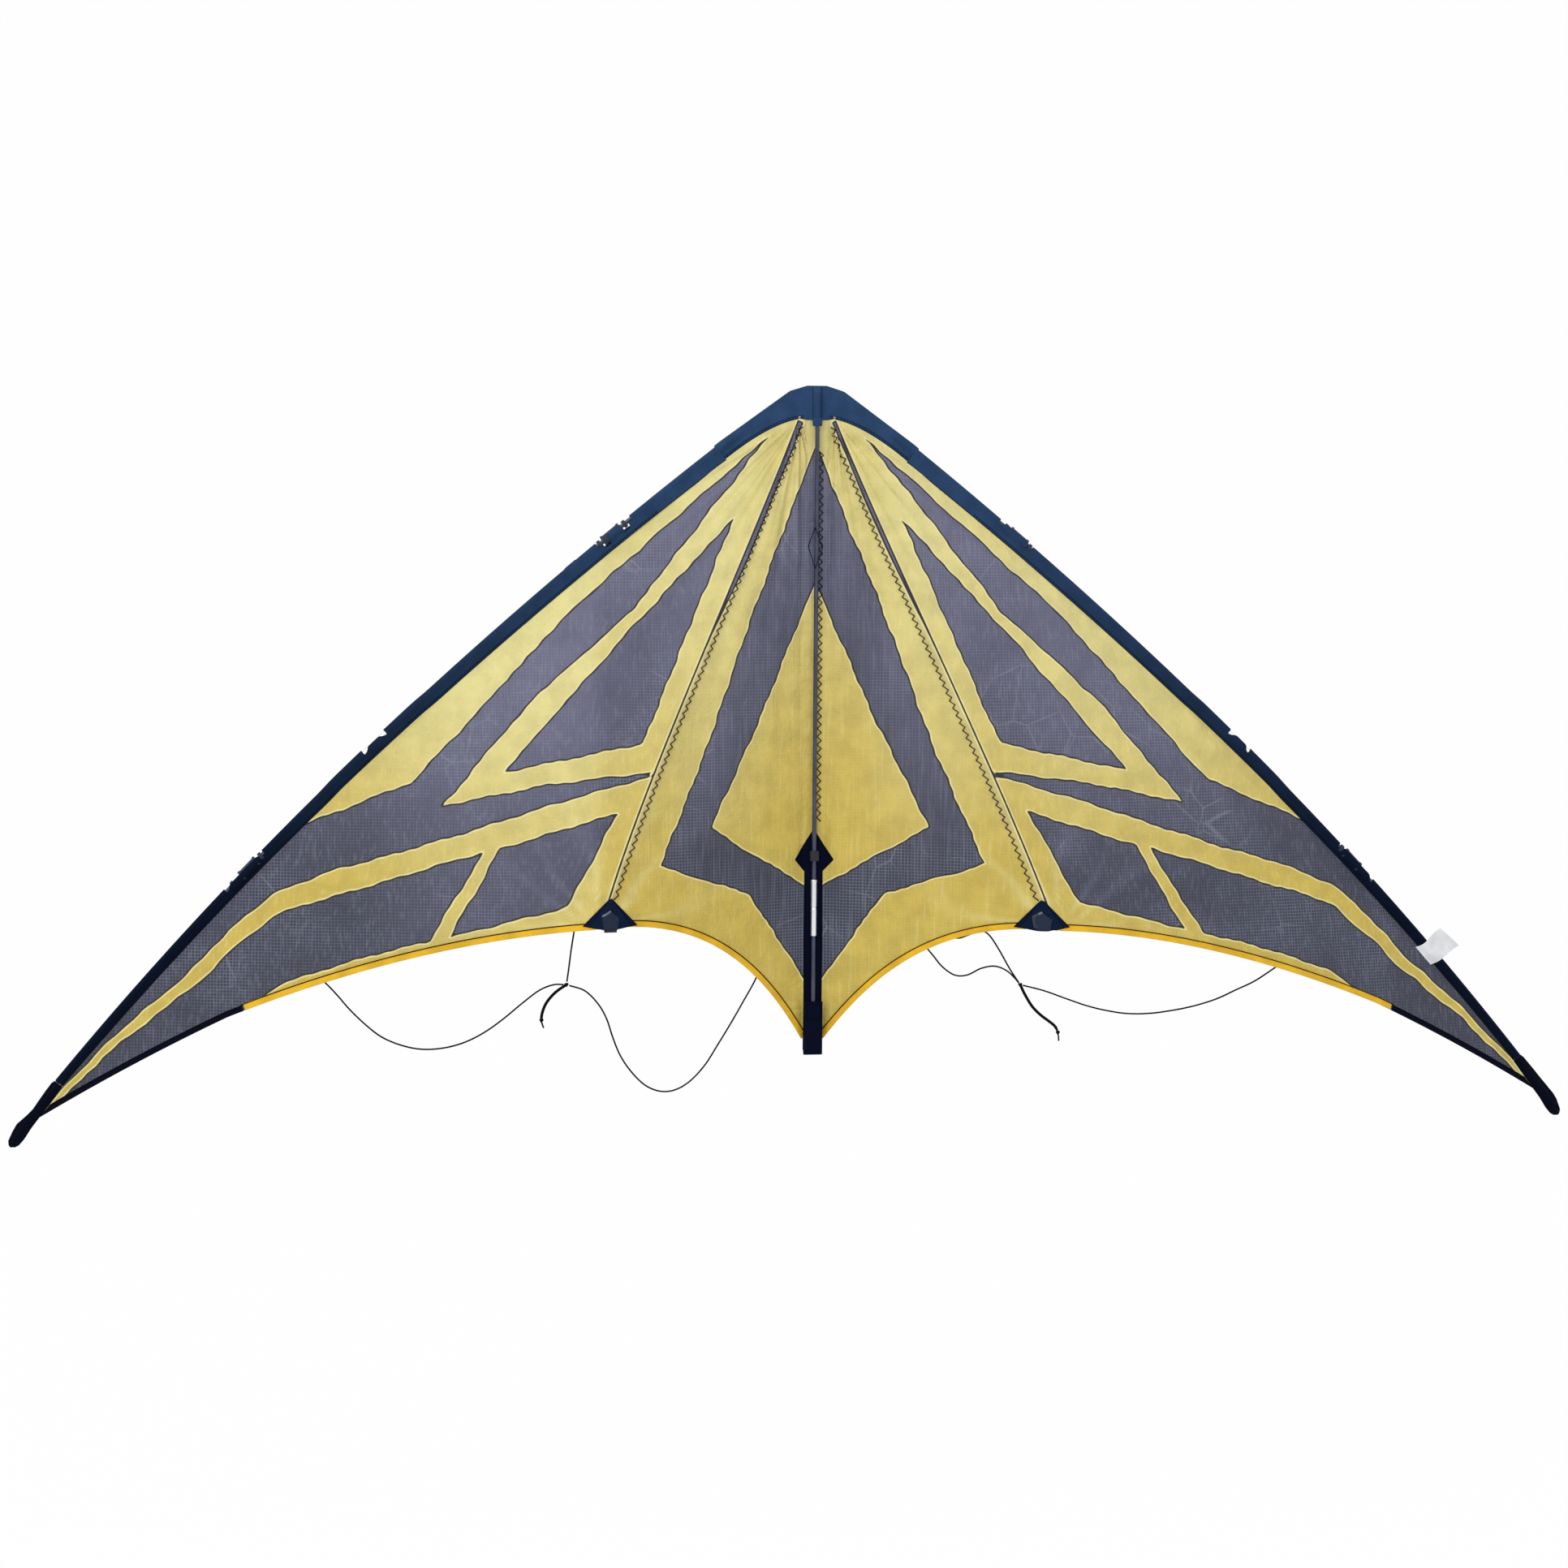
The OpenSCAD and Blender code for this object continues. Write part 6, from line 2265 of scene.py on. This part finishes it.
@dataclass
class StandoffPatch(WingPart):
    """Dark triangle sewn over the seam's foot, pressed out by the standoff's holder."""

    apex: tuple[float, float] = (193.2, -459.6)
    base: tuple = ((167.8, -485.2), (178.0, -486.6), (187.5, -488.4), (193.0, -488.6),
                   (198.5, -488.4), (208.0, -486.6), (219.4, -484.6))
    emboss: tuple = ((193.3, -471.4), (201.7, -478.0), (199.6, -490.5), (187.2, -490.5),
                     (185.3, -478.0))
    shifts: tuple = ((0.6, 2.9), (3.2, -2.4))
    press: float = 1.9
    # Painted highlight line along the upper-left edge of the pressed shape, from the apex.
    mark: tuple = ((-7.4, -16.2), (-0.8, -12.2))
    half: float = 0.34

    def pressed(self, x: Array, z: Array) -> Array:
        """How far the holder presses the cloth out, with soft edges.

        Args:
            x: The points' X, in the patch's own frame.
            z: Their Z.

        Returns:
            Shares from 0 to 1.
        """
        p, inside = np.asarray(self.emboss), np.full(np.shape(x), 1e9)
        for a, b in zip(p, np.roll(p, -1, 0)):
            d = unit(b - a)
            inside = np.minimum(inside, (x - a[0]) * d[1] - (z - a[1]) * d[0])
        return ease(inside, -0.2, 0.8)

    def flat(self, u: Array, v: Array) -> Array:
        """The patch laid flat: lines from its apex to its rounded base.

        Args:
            u: Shares across.
            v: Shares down, as rows.

        Returns:
            Rows by columns of points, x and z.
        """
        base, apex = np.asarray(self.base), np.asarray(self.apex)
        knots = np.linspace(0, 1, len(base))
        foot = np.stack([np.convolve(np.pad(np.interp(u, knots, c), 3, "edge"), np.ones(7) / 7,
                                     "valid") for c in base.T], -1)
        return apex + v[..., None] * (foot[None] - apex)

    def build(self) -> None:
        """Makes the patch and sews its edge."""
        sign, name = self.side.sign, self.side.value
        tree = self.shop.tree(f"{name}_inner_panel", f"{name}_outer_panel", f"{name}_hem_tape")
        shift = self.shifts[sign > 0]
        u, v = np.linspace(0, 1, 57), np.linspace(0.05, 1, 56)[:, None]
        x, z = np.moveaxis(self.flat(u, v), -1, 0)
        sail = drape(xyz(sign * (x + shift[0]), 0, z + shift[1]), tree, 0.42)
        sail[..., 1] = np.minimum(sail[..., 1], sail[-8:-7, :, 1] + 0.5)
        pressed = self.pressed(x, z)
        lift = self.press * pressed
        edge = np.minimum(np.minimum(u, 1 - u)[None] * 9, np.minimum(1 - v, v) * 14)
        half = self.half * (0.55 + 0.45 * ease(edge, 0, 0.5))
        front = sail - xyz(0, half + lift, 0)
        back = sail + xyz(0, half * 0.6 - lift * 0.9, 0)
        off = from_line(sign * (x - self.apex[0]), z - self.apex[1], *np.asarray(self.mark))
        # Painted shade along the patch's edges, and painted highlights on the pressed shape and along its upper-left
        # edge.
        values = {"sewn": 1 - ease(edge, 0.25, 0.7),
                  "pale": 0.07 * pressed + 0.7 * (1 - ease(off, 0.3, 1.1))}
        self.make("patch", skin(front, back), "patch", "navy_tape", "standoff_patch",
                  values=values)
        for column in (5, -6):
            self.sew("patch", front[8:-4, column] - [0, 0.2, 0])


@dataclass
class CareTab:
    """Blank white tab sewn to the right sleeve's inner edge, bent over it and a little curled."""

    shop: Workshop
    corners: tuple = ((573.4, -519.5), (598.8, -501.8), (617.2, -517.9), (589.0, -536.5))
    flat: tuple[float, float] = (0.0235, 0.033)

    def build(self) -> None:
        """Makes the tab and its sewn edge."""
        c, shop = np.asarray(self.corners), self.shop
        u, v = shares(34, 22)
        u3, v3 = u[..., None], v[..., None]
        flat = (c[0] * (1 - u3) + c[1] * u3) * (1 - v3) + (c[3] * (1 - u3) + c[2] * u3) * v3
        sag = 1.7 * np.sin(math.pi * 1.7 * u) * (1 - 0.45 * v)
        flat = flat + sag[..., None] * np.array([0.58, -0.81])
        y = -1.0 - 3.3 * ease(u, 0, 0.3) - 1.6 * ease(u, 0.55, 1.0) * np.sin(1 + 2 * v)
        grid = xyz(flat[..., 0], y, flat[..., 1])
        faces = [shop.shape.place(grid + [0, d, 0], Side.RIGHT) for d in (-0.13, 0.13)]
        piece = shop.make("care_tab_cloth", skin(*faces), "tab", "white_tab", "right_wing",
                          "care_tab")
        shop.sew("care_tab_stitches", "right_wing", faces[0][1:-1, 1] - [0, 0.2, 0],
                 "white_tab")
        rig.sheet(piece, flat=self.flat, held="hung", area=0.97 * self.flat[0] * self.flat[1],
                 rests_on=["right_edge_lower_rod"])


@dataclass
class LooseThreads:
    """Small loop of cord at the upper left opening."""

    shop: Workshop

    def build(self) -> None:
        """Makes the loop beside the opening."""
        shop, sleeve = self.shop, self.shop.tree("left_sleeve")
        spots = ((690, 668), (683, 663), (676, 665), (673, 672), (677, 679), (685, 680))
        path = [shop.camera.on(sleeve, x * POINT_SCALE, y * POINT_SCALE, 0.9) for x, y in spots]
        shop.make("opening_loop", tube(smooth_route(path, 5), 0.42, 6), "navy_thread",
                  "navy_tape", "left_wing")


@dataclass
class Bridle(WingPart):
    """Cords of one side: three legs, their hitches, and the knotted tow loop."""

    routes: dict[str, tuple]
    tow: tuple
    diameter: float = 1.2
    tow_diameter: float = 2.4
    thick: float = 0.78
    spreader_in: tuple[float, float, float] = (27, 8.4, -429)
    spreader_out: tuple[float, float, float] = (505, 7.2, -436)

    def on_spreader(self, x: float) -> Array:
        """Point on the lower spreader's axis at a distance from the spine."""
        a, b = np.array(self.spreader_in), np.array(self.spreader_out)
        return a + (b - a) * (x - a[0]) / (b[0] - a[0])

    def cord_mesh(self, name: str, path: Array, radius: float, sides: int,
                  more: Sequence[tuple[Array, float]] = ()) -> Piece:
        """Makes cords along paths as one piece, with the numbers that its braid needs.

        Args:
            name: The piece's name.
            path: The main cord's path.
            radius: Its radius.
            sides: Points round it.
            more: More paths with their radii.

        Returns:
            The piece.
        """
        parts, along = [], []
        for line, r in [(path, radius), *more]:
            parts.append(tube(line, r, sides))
            along.append(np.repeat(length_along(line), sides))
        solid = joined(parts)
        around = np.tile(turns_of(sides) / math.pi, len(solid[0]) // sides)
        return make_piece(name, solid, self.shop.finishes["cord"], "bridle_cord",
                          {"along": np.concatenate(along),
                           "around": np.minimum(around, 2 - around)})

    def declare(self, piece: Piece, path: Array, diameter: float, **more: object) -> None:
        """Declares a limp cord that hangs knotted, with its path in metres.

        Args:
            piece: The cord's piece.
            path: Its path, from its exit.
            diameter: Its diameter.
            more: What else is said of it.
        """
        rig.cord(piece, exit=tuple(path[0] * MM), length=float(length_along(path)[-1] * MM),
                diameter=diameter * MM, far_end="knot", stiffness="limp", lay="hanging",
                path=[tuple(p) for p in path * MM], **more)

    def leg(self, part: str, hitch_at: Array, hitch_radius: float) -> None:
        """Args:
            part: Which leg.
            hitch_at: Middle of the hitch in a right wing's flat frame.
            hitch_radius: Radius of the hitch's windings.
        """
        shop, name = self.shop, f"{self.side.value}_bridle_{part}_leg"
        path = smooth_route(self.routes[part], 5)
        piece = self.cord_mesh(f"{name}_cord", path, self.thick, 10)
        turns, over = (self.put(helix(hitch_at, *size))
                       for size in ((hitch_radius, 2.15, self.diameter * 1.04, 1.2),
                                    (hitch_radius + 0.9, 0.42, 0.2, 2.4)))
        hitch = self.cord_mesh(f"{name}_hitch", turns, self.diameter / 2, 8,
                               [(over, self.diameter / 2)])
        shop.keep(hitch, self.side.body)
        shop.keep(piece, self.side.body, name)
        self.declare(piece, path, self.diameter, with_pieces=[hitch])

    def tow_loop(self) -> None:
        shop, name = self.shop, f"{self.side.value}_tow_loop"
        path = smooth_route(self.tow, 6)
        across, _ = frames_along(path)
        share = np.linspace(0, 1, len(path))[:, None]
        apart = 0.62 * np.clip((0.84 - share) * 14, 0, 1)
        strands = [path + across * apart * turn for turn in (-1, 1)]
        knots = [(knot_path(self.tow[k], 1.55), 0.62) for k in (0, len(self.tow) - 2)]
        piece = self.cord_mesh(f"{name}_cord", strands[0], self.thick, 10,
                               [(strands[1], self.thick), *knots])
        shop.keep(piece, self.side.body, name)
        self.declare(piece, path, self.tow_diameter)

    def build(self) -> None:
        """Makes the side's cords."""
        self.leg("upper", np.array([176, 7.2, -142.0]), 4.05)
        self.leg("lower", self.on_spreader(499), 4.05)
        self.leg("inner", self.on_spreader(31), 2.65)
        self.tow_loop()


RIGHT_ROUTES = {
    "upper": (
        (176, 6, -145.5), (171, 13, -180), (161, 17, -220), (152, 20, -260), (145, 22, -300),
        (138, 24, -340), (133, 26, -380), (128, 27, -420), (125, 28, -460), (126, 29, -490),
        (132, 30, -506), (142, 30, -511), (153, 30, -508), (163, 30, -504), (172, 30, -508),
        (182, 31, -522), (193, 31, -541), (201.8, 31.2, -554)),
    "lower": (
        (499, -0.5, -439.3), (500, 6, -455), (498, 13, -470), (493, 17, -488), (485, 21, -506),
        (474, 25, -523), (462, 28, -535), (447, 30, -546), (431, 30, -556), (413, 30, -564),
        (395, 30, -572), (375, 30, -578), (355, 30, -582), (331, 30, -585), (308, 30, -585),
        (288, 30, -582), (268, 30, -577), (248, 30, -570), (226, 30, -562), (205.6, 30, -556.6)),
    "inner": (
        (31, 9.5, -431.3), (32, 14, -442), (36, 18, -453), (43, 21, -464), (53, 24, -476),
        (65, 26, -487), (79, 28, -497), (94, 29, -506), (107, 30, -514), (118, 30, -526),
        (128, 30, -538), (140, 30, -546), (152, 30, -546), (165, 30, -540), (178, 30, -538),
        (189, 29, -542), (197, 28.8, -549), (201.3, 28.8, -554.1))}
LEFT_ROUTES = {
    "upper": (
        (-176, 6, -145.5), (-177, 12, -180), (-180, 15, -210), (-184, 18, -240), (-188, 20, -270),
        (-192, 22, -300), (-196, 24, -330), (-200, 26, -360), (-204, 27, -390), (-208, 28, -420),
        (-212, 29, -450), (-215, 30, -475), (-218, 30, -500), (-221, 30, -520), (-223, 30, -536),
        (-224.6, 30, -547.3)),
    "lower": (
        (-499, -0.5, -439.3), (-500, 6, -455), (-497, 13, -470), (-491, 17, -488),
        (-482, 21, -505), (-471, 25, -520), (-458, 28, -533), (-444, 30, -546), (-433, 30, -558),
        (-423, 30, -570), (-409, 30, -584), (-394, 30, -596), (-376, 30, -604), (-357, 30, -608),
        (-337, 30, -607), (-318, 30, -602), (-300, 30, -593), (-283, 30, -581), (-266, 30, -567),
        (-250, 30, -555), (-237, 30, -550), (-227.7, 30, -550)),
    "inner": (
        (-31, 9.5, -431.3), (-30, 14, -446), (-31, 18, -462), (-33, 22, -480), (-37, 26, -502),
        (-42, 29, -524), (-48, 30, -545), (-61, 30, -569), (-73, 30, -590), (-84, 30, -608),
        (-96, 30, -627), (-110, 30, -642), (-124, 30, -650), (-138, 30, -651), (-152, 30, -645),
        (-165, 30, -632), (-175, 30, -617), (-182, 30, -600), (-188, 30, -582), (-196, 30, -568),
        (-208, 30, -556), (-222.4, 30, -550.9))}
RIGHT_TOW = ((203, 30, -556), (208, 30, -566), (215, 30, -577), (223, 30, -585), (231, 30, -591),
             (237, 30, -596), (240, 30, -602), (241, 30, -610))
LEFT_TOW = ((-225, 30, -550), (-235, 30, -557), (-243, 30, -566), (-247, 30, -575),
            (-248, 30, -583), (-246, 30, -590))


@dataclass
class Frame:
    """Rods, ferrules and fittings that stay as the CAD made them, with their finishes."""

    shop: Workshop
    nodes: dict[str, Piece]
    kinds: tuple = (("ferrule", "metal"), ("clip", "fitting"), ("cap", "rubber"),
                    ("tee", "rubber"), ("connector", "fitting"), ("pocket", "plastic"),
                    ("rod", "rod"), ("spreader", "rod"))

    def finish_of(self, name: str) -> str | None:
        """Finish that a CAD node gets.

        Args:
            name: The node's name.

        Returns:
            The finish's name, or None for cloth and cord.
        """
        for word, finish in self.kinds:
            if word in name and name != "spreader_keeper":
                return finish
        return None

    def build(self) -> None:
        """Gives each rigid CAD node its finish."""
        for name, node in self.nodes.items():
            finish = self.finish_of(name)
            if finish:
                for slot in node.material_slots:
                    slot.material = self.shop.finishes[finish]
                LOG.info("finished %s with %s", name, finish)


# ---------- image points ----------


@dataclass(frozen=True)
class FeaturePoint:
    """A place in the photograph's frame, on a long side of 1568, and what shows there."""

    name: str
    x: float | None
    y: float | None
    pieces: tuple[str, ...]
    pick: str


def shows(piece: Piece, camera: StudioCamera) -> Array:
    """Where a finished piece shows in the image.

    Args:
        piece: The piece.
        camera: The photograph's camera.

    Returns:
        The x and y of each of its points.
    """
    mesh = piece.evaluated_get(bpy.context.evaluated_depsgraph_get()).data
    points = np.empty(len(mesh.vertices) * 3, np.float32)
    mesh.vertices.foreach_get("co", points)
    return camera.image(points.reshape(-1, 3) / MM)


@dataclass
class ImagePoints:
    shop: Workshop
    nodes: dict[str, Piece]
    points: tuple[FeaturePoint, ...] = (
        FeaturePoint("left_extent", 5.7, None, ("left_tip_pouch", "left_sleeve"), "left"),
        FeaturePoint("right_extent", 1559.1, None, ("right_tip_pouch", "right_sleeve"), "right"),
        FeaturePoint("top_extent", None, 385.5, ("nose_tab_cloth", "left_nose_panel"), "top"),
        FeaturePoint("bottom_extent", None, 1148.4, ("left_tip_pouch", "left_tip_cap"), "low"),
        FeaturePoint("spine_tail", 812.4, 1053.5, ("tail_flap",), "low"),
        FeaturePoint("ferrule_top", 814.0, 879.8, ("spine_ferrule",), "top"),
        FeaturePoint("ferrule_foot", 814.0, 936.3, ("spine_ferrule",), "low"),
        FeaturePoint("diamond_top", 814.0, 829.4, ("left_keel_diamond", "right_keel_diamond"),
                     "top"),
        FeaturePoint("diamond_left", 794.1, 858.3, ("left_keel_diamond",), "left"),
        FeaturePoint("diamond_right", 832.5, 861.1, ("right_keel_diamond",), "right"),
        FeaturePoint("left_patch_apex", 613.6, 900.1, ("left_patch",), "top"),
        FeaturePoint("right_patch_apex", 1043.3, 903.8, ("right_patch",), "top"),
        FeaturePoint("left_hem_end", 802.7, 1034.0, ("left_hem_tape",), "right"),
        FeaturePoint("left_web_end", 715.8, 443.9, ("left_nose_panel",), "left_corner"),
        FeaturePoint("right_web_end", 919.5, 449.6, ("right_nose_panel",), "right_corner"),
        FeaturePoint("care_tab", 1437.3, 947.1, ("care_tab_cloth",), "middle"),
        FeaturePoint("left_tow_knot", 564.1, 984.5, (), "left_knot"),
        FeaturePoint("right_tow_knot", 1020.2, 984.5, (), "right_knot"))

    def found(self, point: FeaturePoint) -> Array:
        """Place where a thing shows now.

        Args:
            point: The feature.

        Returns:
            Its x and y.
        """
        if point.pick.endswith("knot"):
            tow = LEFT_TOW if point.pick.startswith("left") else RIGHT_TOW
            return self.shop.camera.image(np.array(tow[0]))
        parts = [shows(self.shop.pieces.get(n) or self.nodes[n], self.shop.camera)
                 for n in point.pieces]
        seen = np.concatenate(parts)
        if point.pick == "middle":
            return (seen.min(0) + seen.max(0)) / 2
        if point.pick.endswith("corner"):
            return seen[np.argmin(0.5 * seen[:, 1] + seen[:, 0] * (
                1 if point.pick.startswith("left") else -1))]
        axis, turn = {"left": (0, 1), "right": (0, -1), "top": (1, 1), "low": (1, -1)}[point.pick]
        order = seen[:, axis] * turn
        edge = seen[order < order.min() + 1.2]
        return np.array([edge[:, 0].mean(), edge[:, 1].mean()]) if axis else np.array(
            [(edge[:, 0] * turn).min() * turn, edge[:, 1].mean()])

    def write(self) -> None:
        """Writes how far each thing shows from its point, and never stops the script."""
        rows = {}
        for point in self.points:
            try:
                x, y = self.found(point)
                rows[point.name] = {
                    "x": None if point.x is None else round(float(x) - point.x, 2),
                    "y": None if point.y is None else round(float(y) - point.y, 2)}
            except Exception as problem:
                rows[point.name] = {"problem": str(problem)}
                LOG.warning("no place for %s: %s", point.name, problem)
        write_json("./points.json", rows)


def write_json(path: str, data: object) -> None:
    """Writes plain data, and goes on where it can't.

    Args:
        path: The file.
        data: What it is to hold.
    """
    try:
        with open(path, "w", encoding="utf-8") as out:
            json.dump(data, out, indent=1)
    except OSError as problem:
        LOG.warning("%s wasn't written: %s", path, problem)


def box_lists(bounds: tuple) -> list[list[float]]:
    """A box's two corners as plain lists."""
    return [[round(float(v), 6) for v in corner] for corner in bounds]


def declare_sheets(shop: Workshop) -> None:
    """Args:
        shop: The finished pieces.
    """
    pieces = shop.pieces
    for side in Side:
        s = side.value
        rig.sheet(pieces[f"{s}_inner_panel"], flat=(0.205, 0.567), held="stretched", area=0.054,
                 rests_on=["center_strip", f"{s}_standoff_rod"],
                 with_pieces=[pieces[f"{s}_patch"]])
        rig.sheet(pieces[f"{s}_outer_panel"], flat=(0.505, 0.63), held="stretched", area=0.114,
                 rests_on=[f"{s}_edge_upper_rod", f"{s}_edge_lower_rod"],
                 with_pieces=[pieces[f"{s}_hem_tape"], pieces[f"{s}_dark_tape"]])
    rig.sheet(pieces["center_strip"], flat=(0.018, 0.567), held="stretched",
             rests_on=["spine_upper_rod", "spine_lower_rod"])


def main() -> None:
    """Builds the dressed kite in the frame, its studio and its camera."""
    logging.basicConfig(level=logging.INFO, format="%(message)s")
    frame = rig.load()
    cad_box = box_lists(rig.bounds())
    camera = StudioCamera()
    camera.build()
    groups = Groups()
    finishes = {name: finish.make(groups) for name, finish in FINISHES.items()}
    shop = Workshop(SailShape(), finishes, Sewing(finishes), camera)
    Bridle(shop, Side.LEFT, LEFT_ROUTES, LEFT_TOW).build()
    Bridle(shop, Side.RIGHT, RIGHT_ROUTES, RIGHT_TOW).build()
    for side in Side:
        Wing(shop, side).build()
        EdgeWebbing(shop, side).build()
    Keel(shop).build()
    for side in Side:
        StandoffPatch(shop, side).build()
    CareTab(shop).build()
    LooseThreads(shop).build()
    Frame(shop, frame["nodes"]).build()
    shop.sewing.build()
    declare_sheets(shop)
    Studio().build()
    ImagePoints(shop, frame["nodes"]).write()
    write_json("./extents.json", {"cad": cad_box, "visual": box_lists(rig.bounds())})


if __name__ == "__main__":
    main()
